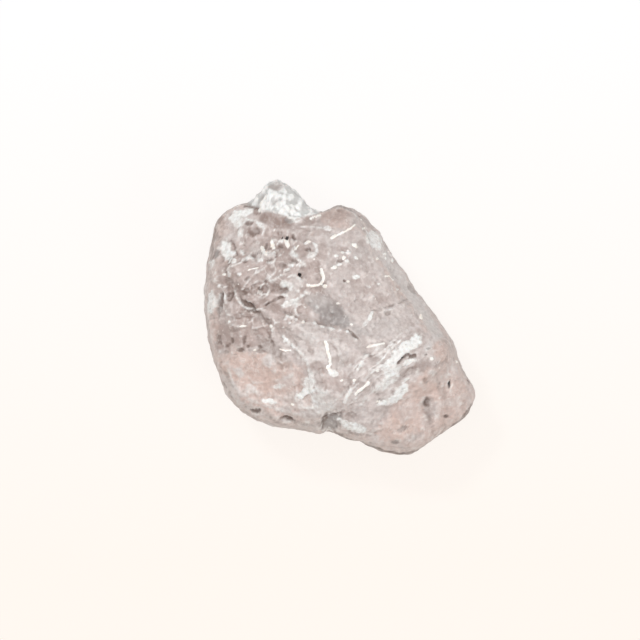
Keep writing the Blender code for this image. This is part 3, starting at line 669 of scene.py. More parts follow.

# %% [markdown]
# ## Strokes
#
# Veins, flashing edges painted as highlights, splinters and cracks are strokes: a path of a few points in
# plan and a width. Where the stone turns away from above, thin dark lines of painted shade and one pale line
# of painted light lie in its rim. Curve objects laid on the stone would look like wire. A stroke in the skin
# bulges or sinks with it and has no edge of its own.

# %% Strokes and rims
# Path, half width, height in mm, stain, how strong.
STROKES = (
    # the row of beads
    (((-6.15, 5.45), (-5.8, 5)), 0.15, 0.1, "glint", 1),
    (((-5.35, 5.85), (-5.15, 5.4)), 0.15, 0.08, "glint", 0.95),
    (((-4.2, 6), (-4.05, 5.6)), 0.15, 0.1, "glint", 1),
    (((-3.25, 5.65), (-3.45, 5.35)), 0.08, 0.06, "glint", 0.8),
    (((-3.4, 4.15), (-3.05, 4.3)), 0.07, 0.04, "glint", 0.6),
    # the crescent, and the ring above it
    (((-1.45, 3.75), (-1.35, 3.45), (-1.25, 3.15), (-1.35, 2.85)), 0.11, 0.1, "glint", 1),
    (((-1.35, 2.85), (-1.5, 2.65), (-1.8, 2.5), (-2.2, 2.45), (-2.55, 2.55)), 0.085, 0.07, "glint", 0.95),
    (((-1.2, 6.4), (-0.85, 5.95), (-0.75, 5.45), (-0.8, 4.9)), 0.18, 0.04, "frost", 0.27),
    # the crystal point's foot and its bright seam
    (((-6.35, 8.45), (-5.2, 8.35), (-4.65, 8), (-3.8, 7.85), (-3.15, 7.85)), 0.11, 0.06, "frost", 0.85),
    (((-5.85, 9.7), (-6.1, 9.15), (-6.35, 8.5)), 0.08, 0.1, "glint", 0.9),
    # veins across the head
    (((-2.25, 7.8), (-1.55, 8.1)), 0.08, 0.06, "glint", 1),
    (((-5.2, 6.85), (-4.6, 7.3), (-3.85, 7.5), (-3.15, 7.6)), 0.08, 0.04, "frost", 0.72),
    (((-3.85, 7.5), (-3.3, 7.9)), 0.08, 0.04, "frost", 0.72),
    (((-3, 7.15), (-2.2, 7.15), (-1.4, 7), (-0.5, 6.9)), 0.09, 0.05, "frost", 0.54),
    (((-0.6, 6.3), (-0.1, 6.5), (0.45, 6.75), (0.85, 7.05), (1.25, 7.4)), 0.065, 0.06, "glint", 0.85),
    (((-0.6, 6.3), (-0.35, 6.45)), 0.11, 0.06, "glint", 0.95),
    (((-7.45, 7.85), (-6.65, 7.65), (-5.8, 7.25)), 0.09, 0.05, "frost", 0.72),
    (((-6.5, 7.55), (-6, 7), (-6.1, 6.5)), 0.09, 0.05, "frost", 0.68),
    (((-7.45, 6.5), (-8.25, 6.9), (-8.75, 7.25)), 0.1, 0.04, "frost", 0.34),
    (((-7.45, 7.65), (-7.8, 7.05), (-7.95, 6.5)), 0.1, 0.04, "frost", 0.41),
    (((-8.5, 6.05), (-8.25, 5.55), (-8.1, 5.05)), 0.09, -0.06, "umber", 0.6),
    (((-7.2, 3.65), (-6.75, 3.85), (-6.4, 3.9)), 0.06, 0.05, "glint", 0.7),
    (((-7.45, 2.45), (-7.2, 2.9), (-6.75, 3.4), (-6, 3.85)), 0.1, 0.06, "frost", 0.36),
    (((-5.4, 2.85), (-5, 3), (-4.65, 3.25)), 0.09, 0.04, "frost", 0.54),
    # veins and slits round the brown bowl
    (((-8.35, 2.1), (-8.1, 1.55), (-7.8, 1.05), (-7.3, 0.7), (-6.65, 0.6), (-6.1, 0.65)),
     0.11, 0.08, "frost", 0.52),
    (((-9.55, 2.65), (-9.3, 2.2), (-9.05, 1.65), (-9, 1.15)), 0.1, 0.06, "frost", 0.54),
    (((-5.8, 1), (-5.4, 1.25), (-4.9, 1.45), (-4.5, 1.6)), 0.08, -0.12, "umber", 0.9),
    (((-4.15, 1.15), (-3.45, 1.45), (-2.8, 1.7)), 0.1, 0.06, "frost", 0.59),
    (((-6.8, 2.6), (-6.4, 2.85), (-5.85, 2.85), (-5.55, 2.45), (-5.65, 1.85), (-6.2, 1.55), (-6.65, 1.8)),
     0.1, 0.07, "pale", 0.72),
    (((-8.75, -0.45), (-8, -0.7), (-7.3, -0.7)), 0.09, 0.05, "pale", 0.42),
    (((-6.9, -0.9), (-6.35, -0.8), (-5.8, -0.6), (-5.55, -0.3)), 0.1, 0.05, "pale", 0.42),
    (((-7.15, -0.45), (-6.9, -0.15), (-6.65, 0.25)), 0.09, 0.05, "pale", 0.35),
    (((-5.7, -1.25), (-5.45, -1.55), (-5.15, -2.2)), 0.09, -0.05, "umber", 0.5),
    (((-10.2, 0.5), (-9.85, 0.85), (-9.65, 1.25), (-9.6, 1.8)), 0.1, 0.06, "frost", 0.81),
    # the sparkling lower edge of the grey hollow
    (((-4.75, 0.45), (-4, 0.1), (-3.2, -0.3), (-2.1, -0.55), (-1.3, -0.75), (-0.35, -1), (0.95, -1.2)),
     0.09, 0.05, "frost", 0.28),
    (((3.65, 3.25), (3.9, 3.25), (4.2, 3)), 0.07, 0.04, "glint", 0.8),
    # the dashed ledge of the right plane
    (((2.55, 0.5), (3.2, 0.6)), 0.1, -0.05, "umber", 0.4),
    (((3.6, 0.75), (4.3, 0.95)), 0.11, -0.05, "umber", 0.5),
    (((4.7, 1.1), (5.35, 1.45)), 0.1, -0.04, "umber", 0.42),
    (((3.1, 0.4), (3.9, 0.55), (4.8, 0.75), (5.5, 1.15)), 0.09, 0.02, "frost", 0.25),
    # the triangle's flashing edge, and its foot
    (((-1.15, -1.9), (-1, -2.3), (-0.95, -2.75), (-0.8, -3.25), (-0.75, -3.65)), 0.12, 0.08, "glint", 1),
    (((-0.95, -3.85), (-0.85, -4.1), (-0.65, -4.3)), 0.13, 0.05, "glint", 0.8),
    (((2.2, -2.3), (2.8, -2.15), (3.5, -2.05)), 0.08, 0.07, "glint", 1),
    # the splinters of the rib
    (((1.35, -4.15), (1.75, -3.55), (2.15, -3)), 0.09, 0.09, "frost", 0.9),
    (((1.25, -5.95), (1.75, -5.55), (2.3, -5.1)), 0.11, 0.09, "glint", 1),
    (((0.35, -6.6), (0.55, -6.15), (0.9, -5.6)), 0.14, 0.08, "frost", 0.9),
    (((1.8, -5), (2.45, -4.35), (3.25, -3.75)), 0.09, 0.07, "frost", 0.45),
    (((2.6, -3.1), (3.6, -2.55), (4.55, -1.9)), 0.1, 0.06, "frost", 0.5),
    (((0.6, -4.55), (1.2, -3.9), (1.75, -3.4)), 0.09, 0.06, "frost", 0.45),
    (((1, -6.75), (1.8, -6.3), (2.6, -5.9)), 0.1, 0.05, "frost", 0.36),
    (((2.85, -5.4), (3.6, -4.85), (4.45, -4.3)), 0.1, 0.08, "frost", 0.63),
    (((3, -3.65), (3.65, -2.95), (4.8, -1.8)), 0.08, 0.06, "frost", 0.68),
    # painted shadow: the dark recess under the overhanging frosted ridge, with a black core
    (((4.65, -3.55), (5, -3.15), (5.35, -2.95)), 0.1, -0.16, "umber", 1),
    (((5.2, -3), (5.65, -3.05), (6, -3)), 0.11, -0.16, "umber", 1),
    (((4.8, -3.35), (5.05, -3.1)), 0.06, -0.05, "black", 0.8),
    (((5, -4.35), (5.8, -4.1), (6.85, -3.9), (7.9, -3.75), (8.6, -3.4)), 0.34, -0.03, "rind", 0.5),
    # the ridge between the lobe and the triangle
    (((-4.4, -1.55), (-4.1, -1.9), (-3.8, -2.15)), 0.15, 0.07, "frost", 0.76),
    (((-3.8, -2.15), (-3.2, -2.6), (-2.8, -3.1), (-2.5, -3.65), (-2.4, -4.15)), 0.14, 0.07, "frost", 0.46),
    (((-2.35, -4.15), (-2.2, -4.85), (-2.1, -5.5)), 0.14, 0.06, "frost", 0.45),
    (((-4.65, -2.5), (-4.25, -2.6), (-3.85, -2.55)), 0.06, 0.05, "glint", 0.75),
    (((-3.15, -6.3), (-2.6, -5.95), (-1.95, -5.65)), 0.15, 0.06, "frost", 0.81),
    # the bevel round the lobe's foot
    (((-8.8, -3.55), (-8.6, -4.75), (-7.95, -5.75), (-7.05, -6.5), (-5.8, -7), (-3.95, -7.5),
      (-1.7, -8.15)), 0.14, 0.05, "pale", 0.6),
    (((-7.15, -4.75), (-6.8, -5.15), (-6.1, -5.2)), 0.1, 0.04, "pale", 0.5),
    (((-3.6, -8.35), (-3, -8.4), (-1.85, -8.55), (-1.3, -8.45)), 0.15, -0.03, "umber", 0.4),
)

RIMS = (
    # painted light: a pale band lifts the right edge where the lamps reach it less
    (((3.6, 5), (4.6, 3.4), (5.75, 1.8), (6.8, 0.2), (7.75, -1.4)), 0.5, 0, "pale", 0.9),
    # painted shade: the brown rim along the corner's outline
    (((-1.4, 8.45), (-0.65, 8.65), (0.15, 8.75), (0.85, 8.55)), 0.16, 0, "umber", 0.56),
    (((1.75, 8.05), (2.15, 7.65), (2.55, 7.25), (2.95, 6.7)), 0.16, 0, "umber", 0.34),
    # painted shade: the dark rim along the shoulder's outline
    (((-10.25, 4.45), (-10.15, 5.8), (-9.8, 7.4), (-9.4, 8.25), (-8.75, 8.85), (-7.95, 9.05),
      (-7.15, 9.05)), 0.14, 0, "umber", 0.45),
    # painted shade: the long dark line along the foot's outline
    (((-0.8, -9.05), (0.45, -9.55), (2.3, -10.2), (3.65, -10.7), (5.1, -10.95)),
     0.12, -0.02, "umber", 0.66),
    (((5.1, -10.95), (6.55, -10.45), (7.8, -9.65), (8.95, -8.75), (9.9, -7.95), (10.55, -7)),
     0.14, 0, "umber", 0.6),
)

# %% [markdown]
# ## Making the marks
#
# All marks add up in one height for each point and one number for each stain. A stain over another of its
# kind comes nearer to 1 without passing it, as one coat of paint over another does. Painting in Blender's
# texture paint mode would do too, but numbers can be moved and sized like any part.

# %% Marks
STAINS = ("mauve", "rind", "blush", "ash", "pale", "umber", "frost", "glint", "black")
skin = {name: np.zeros(len(PLACES)) for name in ("height", *STAINS)}


def mark(share, rise, name, strength, where=UPPER):
    """Raises or sinks the surface by a share, and adds the stain over what is there."""
    share = share * where
    skin["height"] += rise * share
    skin[name] = 1.0 - (1.0 - skin[name]) * (1.0 - strength * share)


ZONE_STAINS = (
    ("crown", "mauve", 0.62),
    ("shelf", "mauve", 0.70),
    # painted shade: the grey hollow slopes away from the light
    ("grey hollow", "ash", 0.55),
    ("triangle", "pale", 0.36),
    ("corner", "blush", 0.45),
    ("corner", "rind", 0.34),
    ("band", "rind", 0.84),
    ("lobe", "blush", 0.65),
    ("foot", "blush", 0.64),
)
for name, stain, strength in ZONE_STAINS:
    mark(ZONES[name], 0.0, stain, strength)
for centre, half_length, half_width, turn, rise, name, strength in SPOTS:
    mark(spot(centre, (half_length, half_width), turn), rise, name, strength)
for path, half_width, rise, name, strength in STROKES:
    mark(stroke(path, half_width) * (1.0 if name == "glint" else BROKEN), rise, name, strength)
for path, half_width, rise, name, strength in RIMS:
    mark(stroke(path, half_width), rise, name, strength, WIDEST)
print(len(SPOTS), "spots and", len(STROKES) + len(RIMS), "strokes")

# %% [markdown]
# ## Broken facets
#
# The whole stone is made of small broken planes, 1.5 mm and 0.6 mm wide, tilted at random and blended where
# they meet. Scattered centres give the planes, and noise at each centre gives its tilt and its tone. Smooth
# zones get less of the small ones. Cutting the mesh with planes would be sharper, but it couldn't fade from
# zone to zone.

# %% Facets
CRISPNESS = 9.0  # how quickly one plane gives way to the next
TILT_SPREAD, TONE_SPREAD = 3.7, 5.3  # part the centres in the noise, so that each draws a value of its own


def facets(size, tilt, seed):
    """Small planes broken at random angles: height in mm, and each plane's tone."""
    shift = Vector((seed, 2.0 * seed, 3.0 * seed))
    heights, tones = [], []
    for place in PLACES:
        here = Vector(place / size) + shift
        distances, centres = noise.voronoi(here)
        weights = [math.exp(-CRISPNESS * (distance - distances[0])) for distance in distances]
        weights = [weight - weights[-1] for weight in weights]
        slopes = [noise.noise_vector(centre * TILT_SPREAD).dot(here - centre) for centre in centres]
        total = sum(weights)
        heights.append(sum(w * slope for w, slope in zip(weights, slopes)) / total)
        draws = [noise.noise(centre * TONE_SPREAD) for centre in centres]
        tones.append(sum(w * draw for w, draw in zip(weights, draws)) / total)
    return tilt * size * np.array(heights), np.array(tones)


wide_facets, wide_tones = facets(1.5, 0.16, seed=10.0)
small_facets, small_tones = facets(0.62, 0.22, seed=11.0)
rough_share = 0.35 + 0.65 * ZONES["crown"] + 0.5 * ZONES["rib"] - 0.35 * ZONES["foot"]
rough_share = rough_share - 0.15 * ZONES["triangle"] - 0.65 * ZONES["band"]
skin["height"] += wide_facets + small_facets * rough_share
skin["tone"] = 0.6 * wide_tones + (0.5 + 0.6 * rough_share) * small_tones + 0.5 * clouds(0.30, 3, seed=12.0)
skin["tone"] *= (0.20 + 0.10 * ZONES["crown"]) / skin["tone"].std()
print("tone within", skin["tone"].min().round(2), skin["tone"].max().round(2))

# %% [markdown]
# ## Hollows, splinters and grains
#
# Between the marks every zone has its own grain, made of noise at that zone's real sizes: hollows 0.85 mm
# apart with pale rims on the crown, splinters 0.3 mm wide and nearly four times as long on the rib, grains
# of 0.55 mm on the crystal point. A Displace modifier could raise the relief, but the stain would then know
# nothing of it. Here both come from the same numbers.

# %% Grain
CROWN_HOLLOWS, CRYSTAL_GRAINS = 0.85, 0.55  # mm from middle to middle
SPLINTER_LENGTH, SPLINTER_WIDTH = 1.1, 0.30  # mm
SPLINTER_TURN = math.radians(38)

near, next_near = cells(CROWN_HOLLOWS, seed=6.0)
rims = 1.0 - ramp(next_near - near, 0.02, 0.25)
crown = ZONES["crown"] * UPPER * (1.0 - ZONES["band"]) * (1.0 - 0.6 * ZONES["shelf"])
mark(crown * rims * ramp(WISPS + MOTTLE, 0.0, 0.6), 0.06, "frost", 0.42)
mark(crown * ramp(1.0 - near, 0.45, 0.9) * ramp(MOTTLE, -0.2, 0.5), -0.10, "umber", 0.42)

along = PLACES[:, 0] * math.cos(SPLINTER_TURN) + PLACES[:, 1] * math.sin(SPLINTER_TURN)
across = PLACES[:, 1] * math.cos(SPLINTER_TURN) - PLACES[:, 0] * math.sin(SPLINTER_TURN)
grained = [Vector((a / SPLINTER_LENGTH, b / SPLINTER_WIDTH, 0.0)) for a, b in zip(along, across)]
splinters = np.array([noise.fractal(place, 1.0, 2.0, 3) for place in grained])
mark(ZONES["rib"] * UPPER * ramp(splinters, 0.05, 0.5), 0.045, "frost", 0.35)

grain_near, grain_next = cells(CRYSTAL_GRAINS, seed=7.0)
lumps = ramp(clouds(0.60, 2, seed=13.0) + 0.5 * (0.5 - grain_near), -0.14, 0.20)
skin["crystal"] = ZONES["crystal"]
skin["grains"] = lumps * (0.5 + 0.5 * ramp(grain_next - grain_near, 0.0, 0.2))
skin["height"] += skin["crystal"] * (0.10 * skin["grains"] - 0.08 + 0.01 * GRIT)
print("rims on", int((crown * rims).sum()), "points, splinters on", int((ZONES["rib"] * UPPER).sum()))

# %% [markdown]
# ## Flanks and smooth faces
#
# The flanks are plainer than the side that looks up: wide patches of frost and of stain, with single pits
# 1.7 mm apart. The smooth faces only show pale and dark clouds, a little raised and a little sunk. Three
# sizes of cloud over everything keep any part from being smooth at all.

# %% Flanks
FLANK = 1.0 - UPPER
specks = ramp(-cells(0.50, seed=8.0)[0], -0.22, -0.10)
# painted highlights: scattered glints on the right plane
mark(ZONES["plane"] * specks * ramp(WISPS, 0.0, 0.4), 0.03, "glint", 0.55)
mark(ramp(MOTTLE + 0.5 * WISPS, 0.10, 0.6), 0.03, "frost", 0.20)
mark(ramp(clouds(1.5, 4, seed=16.0), 0.22, 0.50), 0.04, "frost", 0.60, FLANK)
mark(ramp(clouds(2.2, 4, seed=17.0), 0.15, 0.55), -0.03, "umber", 0.35, FLANK)
pits = ramp(-cells(1.7, seed=18.0)[0], -0.20, -0.10)
mark(pits, -0.16, "umber", 0.60, FLANK * (1.0 - ZONES["crystal"]))

smooth = np.maximum.reduce((ZONES["lobe"], ZONES["foot"], ZONES["triangle"]))
depths = clouds(0.9, 3, seed=15.0)
mark(smooth * ramp(depths, 0.0, 0.4), 0.03, "pale", 0.42)
mark(smooth * ramp(-depths, 0.0, 0.4), -0.03, "mauve", 0.45)
skin["height"] += 0.035 * WISPS + 0.03 * MOTTLE + 0.018 * GRIT * (0.5 + rough_share)
skin["height"] *= 1.0 - 0.5 * ZONES["band"]
skin["frost"] *= 1.0 - 0.7 * ZONES["band"]
print("relief from", round(skin["height"].min(), 2), "to", round(skin["height"].max(), 2), "mm")

# %% [markdown]
# ## A browner rim, and painted light and shade by slope
#
# Where the stone turns away from above its skin is browner the steeper it is, and a thin umber band along
# the outline is painted shade. Where the top turns down into the flanks, pink and pale are laid on as
# painted light, to lift faces that the lamps reach less. The slope of each point is known, and each stain
# starts at a slope of its own. A Layer Weight node would find the rim as well, but it follows the camera.

# %% Stain and painted light by slope
STEEPNESS = -NORMALS[:, 2]  # from -1 where a face looks up, to 0 where it is upright
painted_flank_light = np.clip(0.7 + 0.8 * MOTTLE + 0.4 * WISPS, 0.25, 1.0) * (1.0 - ZONES["crystal"])
plain = 1.0 - ZONES["crystal"]
SLOPE_STAINS = (
    # painted light: pink and pale where the top turns down into the flanks, to lift faces the lamps reach
    # less
    ("blush", 0.80, -0.80, -0.45, painted_flank_light),
    ("pale", 0.42, -0.75, -0.40, painted_flank_light),
    # the steep flank's browner skin, and a thin umber band of painted shade at the outline
    ("rind", 0.72, -0.35, 0.05, plain),
    ("umber", 0.20, -0.36, -0.14, plain),
)
for name, strength, low, high, where in SLOPE_STAINS:
    skin[name] = np.maximum(skin[name], strength * ramp(STEEPNESS, low, high) * where)
print("rind on", int((skin["rind"] > 0.5).sum()), "points")

# %% [markdown]
# ## Worn edges, and dust and painted shade in hollows
#
# Handling rubs the edges of a rough stone pale, and dust stays in its hollows, where the darkening is also
# painted shade. Both follow from the relief: a point that stands above the average of its surroundings is
# rubbed, and one below it is darkened as dust and painted shade. The shader's Pointiness does much the same,
# but only in Cycles, and it looks no further than the next points.

# %% Wear
def averaged(values, passes):
    """Each point's value averaged again and again with its neighbours'."""
    ends = np.array([[vert.index for vert in edge.verts] for edge in SHAPE.edges])
    count = np.bincount(ends.ravel(), minlength=len(values))
    for _ in range(passes):
        total = np.bincount(ends[:, 0], values[ends[:, 1]], len(values))
        total += np.bincount(ends[:, 1], values[ends[:, 0]], len(values))
        values = 0.4 * values + 0.6 * total / count
    return values


SHAPE.verts.index_update()
STARTS, FULL = 0.006, 0.07  # mm above or below the surroundings
stands_out = skin["height"] - averaged(skin["height"], 8)
skin["worn"] = 0.6 * ramp(stands_out, STARTS, FULL) * (1.0 - 0.8 * ZONES["band"])
# dust, and painted shade in the hollows
skin["dust_and_shade"] = 0.75 * ramp(-stands_out, STARTS, FULL) * (1.0 - 0.8 * ZONES["crystal"])
print("rubbed", int(skin["worn"].sum()), "dust_and_shade", int(skin["dust_and_shade"].sum()))

# %% [markdown]
# ## The finished skin
#
# The relief is now added along each point's normal, and fades out on the resting face so that the stone
# still lies flat. The stains go into the mesh as named point attributes, one number each, for the material
# to read. Painted colours would do too, but each number can still be mixed, frayed and coloured in the
# shader.

# %% The skin as a mesh
RESTING = ramp(PLACES[:, 2], 0.02, 0.5)


def finished_skin(shape):
    """The mesh in metres, with its relief and its stains."""
    moved = PLACES + NORMALS * (skin["height"] * RESTING)[:, None]
    for vert, place in zip(shape.verts, moved):
        vert.co = place * MM
    mesh = bpy.data.meshes.new("morganite_skin")
    shape.to_mesh(mesh)
    shape.free()
    mesh.shade_smooth()
    for name, values in skin.items():
        mesh.attributes.new(name, "FLOAT", "POINT").data.foreach_set("value", values.astype(np.float32))
    return mesh


stone = bpy.data.objects.new("morganite_skin", finished_skin(SHAPE))
bpy.context.scene.collection.objects.link(stone)
print(sum(len(face.vertices) - 2 for face in stone.data.polygons), "triangles")

# %% [markdown]
# ## Stains as layers of colour
#
# A stain lies over the colour below it, and how much of it shows is what the mesh says, torn by a fine
# noise so that its edge looks like crushed stone. Each stain could be a shader of its own, but they differ
# in little more than colour, so one shader is fed with layers.

# %% Layers
UNDER, OVER, MIXED = 6, 7, 2  # a mix node's two inputs and its output for colours
# Each stain's duller and brighter colour, how frayed it is, and the shares between which it comes up. The
# closer together those are, the crisper is its edge.
STAIN_LOOKS = {
    "mauve": ("#A8948D", "#B09C95", 1.0, 0.0, 1.0),
    "rind": ("#94807A", "#9E8A81", 1.0, 0.0, 1.0),
    "blush": ("#CDB5AB", "#D7BFB5", 1.0, 0.0, 1.0),
    "ash": ("#98908D", "#A09895", 1.0, 0.0, 1.0),
    "pale": ("#CEC6C2", "#D8D0CC", 1.0, 0.0, 1.0),
    "umber": ("#68554B", "#78655B", 1.2, 0.0, 0.9),
    "frost": ("#E3E1DD", "#F8F8F6", 1.4, 0.05, 0.90),
    # painted highlight: the glint layer
    "glint": ("#FFF6EA", "#FFFEFA", 1.6, 0.25, 0.60),
    # painted shade at the bottom of deep pits and in the recess
    "black": ("#1E1816", "#2B2321", 1.0, 0.15, 0.60),
}


def laid(tree, colour, layers):
    """The colour with layers over it, each the share of it that shows and its colour."""
    for share, over in layers:
        sockets = {"Factor": share, UNDER: colour, OVER: over}
        colour = add(tree, "ShaderNodeMix", {"data_type": "RGBA"}, sockets).outputs[MIXED]
    return colour


def stain_layer(tree, name, stored, fray):
    """One stain as a layer: the share of it that shows, and its colour."""
    dull, bright, frayed, low, high = STAIN_LOOKS[name]
    gaps = {0: fray, 1: frayed, 2: 1.0 - frayed / 2.0}
    gaps = add(tree, "ShaderNodeMath", {"operation": "MULTIPLY_ADD"}, gaps).outputs[0]
    share = add(tree, "ShaderNodeMath", {"operation": "MULTIPLY"}, {0: stored[name], 1: gaps}).outputs[0]
    ends = {"Value": share, "From Min": low, "From Max": high}
    share = add(tree, "ShaderNodeMapRange", {"interpolation_type": "SMOOTHSTEP"}, ends).outputs["Result"]
    brighter = {"Value": fray, "From Min": 0.35, "From Max": 0.65}
    brighter = add(tree, "ShaderNodeMapRange", inputs=brighter).outputs["Result"]
    return share, laid(tree, linear(dull), [(brighter, linear(bright))])


print(len(STAIN_LOOKS), "stains, laid in this order:", ", ".join(STAINS))

# %% [markdown]
# ## The stone's own colour
#
# Fresh morganite is a pale brownish pink, and each broken facet has its own tone of it. The crystal point
# is white, with greyer gaps between its grains. Both are speckled by a grain of a third of a millimetre.
# The real grain is finer still, too fine to show at this size, so it is drawn as coarse as it has to be.

# %% Body and crystal
# Swells to a metre: one every 2.4 mm for the clouds, down to one every 0.28 mm where stains fray.
CLOUDS, HAIRS, FLECKS, GRAIN, FRAY = (count / MM for count in (0.42, 0.90, 1.50, 3.00, 3.60))


def own_colour(tree, stored, grain):
    """Toned and speckled pink, and white on the crystal point."""
    tone = {"Value": stored["tone"], "From Min": -0.8, "From Max": 0.8}
    speck = {"Value": grain, "From Min": 0.30, "From Max": 0.72, "To Max": 0.22}
    tone, speck = (add(tree, "ShaderNodeMapRange", inputs=ends).outputs["Result"] for ends in (tone, speck))
    pink = laid(tree, linear("#9D8B85"), [(tone, linear("#E8DEDA")), (speck, linear("#E3DAD5"))])
    white = laid(tree, linear("#CECDCA"), [(stored["grains"], linear("#FEFEFC"))])
    return laid(tree, pink, [(stored["crystal"], white)])


print("clouds every", round(1 / CLOUDS / MM, 2), "mm, grain every", round(1 / GRAIN / MM, 2), "mm")

# %% [markdown]
# ## Wear, dust and painted shade, grain, hair cracks and painted sparkle
#
# Over the stains lie the finest things: pale rubbed edges, brown dust that is also painted shade in the
# hollows, dark and light grain, hair cracks that wander through the cloudy patches, and single white flecks
# of painted sparkle away from the pink stone. The grain, the cracks and the flecks are too fine for the
# mesh, so they are made in the shader.

# %% The finest layers
def finest_layers(tree, place, stored, swells, grain):
    """Wear, dust and painted hollow shade, grain, hair cracks and painted sparkle flecks, as layers."""
    bend = {"Vector": place, "Scale": HAIRS, "Detail": 3.0, "Distortion": 0.8}
    bend = add(tree, "ShaderNodeTexNoise", inputs=bend).outputs["Fac"]
    flecks = add(tree, "ShaderNodeTexVoronoi", inputs={"Vector": place, "Scale": FLECKS}).outputs
    dark, light, patch, fleck = (
        add(tree, "ShaderNodeMapRange", inputs=ends).outputs["Result"]
        for ends in (
            {"Value": grain, "From Min": 0.50, "From Max": 0.25, "To Max": 0.25},
            {"Value": grain, "From Min": 0.52, "From Max": 0.75, "To Max": 0.25},
            {"Value": swells, "From Min": 0.52, "From Max": 0.60, "To Max": 0.35},
            {"Value": flecks["Distance"], "From Min": 0.20, "From Max": 0.12},
        )
    )
    crack, chosen, away_from_blush = (
        add(tree, "ShaderNodeMath", {"operation": operation}, numbers).outputs[0]
        for operation, numbers in (
            ("COMPARE", {0: bend, 1: 0.5, 2: 0.012}),
            ("GREATER_THAN", {0: flecks["Color"], 1: 0.86}),
            ("SUBTRACT", {0: 1.0, 1: stored["blush"]}),
        )
    )
    hair = add(tree, "ShaderNodeMath", {"operation": "MULTIPLY"}, {0: crack, 1: patch}).outputs[0]
    for share in (chosen, away_from_blush):
        fleck = add(tree, "ShaderNodeMath", {"operation": "MULTIPLY"}, {0: fleck, 1: share}).outputs[0]
    # the hollow layer is dust and painted shade, and the white flecks are painted sparkle
    shares = (stored["worn"], stored["dust_and_shade"], dark, light, hair, fleck)
    colours = ("#F0EDE9", "#7C6A63", "#8A7972", "#F7F4F1", "#F2EEEA", "#FAF7F3")
    return zip(shares, map(linear, colours))


print("flecks every", round(1 / FLECKS / MM, 2), "mm, one cell in seven")

# %% [markdown]
# ## Cloudy pink beryl
#
# Beryl is a glassy mineral with an IOR of 1.58. This lump is full of tiny fractures, so light enters it,
# scatters and comes back milky: that is subsurface scattering over 0.4 mm. Only a small share goes straight
# through, and ten millimetres of stone take a quarter of the blue from it and a fifth of the green, which
# leaves it pink. Broken faces are satin, and bruised stone is rough. Glass with a pink tint would be the
# plain choice for a cut gem, but it would look wet and empty here.

# %% The stone's material
BERYL_IOR = 1.58
SATIN, BRUISED = 0.42, 0.64  # roughness of a broken face, and of frost
MILKY_DEPTH = 0.4 * MM  # how far light wanders under the skin
GRIT_HEIGHT = 0.06 * MM


def cloudy_pink_beryl():
    """Milky, satin and faintly see-through, and stained as the mesh says."""
    material = bpy.data.materials.new("cloudy_pink_beryl")
    material.use_nodes = True
    tree = material.node_tree
    shader = tree.nodes["Principled BSDF"]
    place = add(tree, "ShaderNodeTexCoord").outputs["Object"]
    stored = {
        name: add(tree, "ShaderNodeAttribute", {"attribute_name": name}).outputs["Fac"]
        for name in skin
        if name != "height"
    }
    swells, grain, fray = (
        add(tree, "ShaderNodeTexNoise", inputs={"Vector": place, **settings}).outputs["Fac"]
        for settings in (
            {"Scale": CLOUDS, "Detail": 4.0, "Roughness": 0.6},
            {"Scale": GRAIN, "Detail": 3.0, "Roughness": 0.7},
            {"Scale": FRAY, "Detail": 2.0, "Roughness": 0.6},
        )
    )
    colour = own_colour(tree, stored, grain)
    *stains, black = [stain_layer(tree, name, stored, fray) for name in STAINS]
    colour = laid(tree, colour, (*stains, *finest_layers(tree, place, stored, swells, grain), black))
    tree.links.new(colour, shader.inputs["Base Color"])

    rough = {"Value": stored["frost"], "To Min": SATIN, "To Max": BRUISED}
    rough = add(tree, "ShaderNodeMapRange", inputs=rough).outputs["Result"]
    tree.links.new(rough, shader.inputs["Roughness"])
    bump = {"Height": grain, "Strength": 0.22, "Distance": GRIT_HEIGHT}
    bump = add(tree, "ShaderNodeBump", inputs=bump).outputs["Normal"]
    tree.links.new(bump, shader.inputs["Normal"])
    shader.inputs["IOR"].default_value = BERYL_IOR
    shader.inputs["Transmission Weight"].default_value = 0.08
    shader.inputs["Subsurface Weight"].default_value = 0.15
    shader.inputs["Subsurface Radius"].default_value = (1.0, 0.75, 0.65)
    shader.inputs["Subsurface Scale"].default_value = MILKY_DEPTH
    inside = add(tree, "ShaderNodeVolumeAbsorption", inputs={"Color": linear("#F2CFC4"), "Density": 60.0})
    tree.links.new(inside.outputs["Volume"], tree.nodes["Material Output"].inputs["Volume"])
    return material


stone.data.materials.append(cloudy_pink_beryl())
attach(stone, "root")
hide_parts("morganite")
print(len(stone.data.materials[0].node_tree.nodes), "nodes")

# %% [markdown]
# ## The table
#
# The stone lies on plain white paper, which is matt, and a little warmer below the stone than above it.
# Under lamps alone such a sheet comes out grey, so it also glows by itself, and its own colour is kept dark
# to leave only a faint soft shadow.

# %% Ground
GROUND_SIZE = 3.0  # metres from its middle to its edge
WARM_EDGE, COOL_EDGE = -20 * MM, 24 * MM  # the sheet's colour changes between these, towards the top


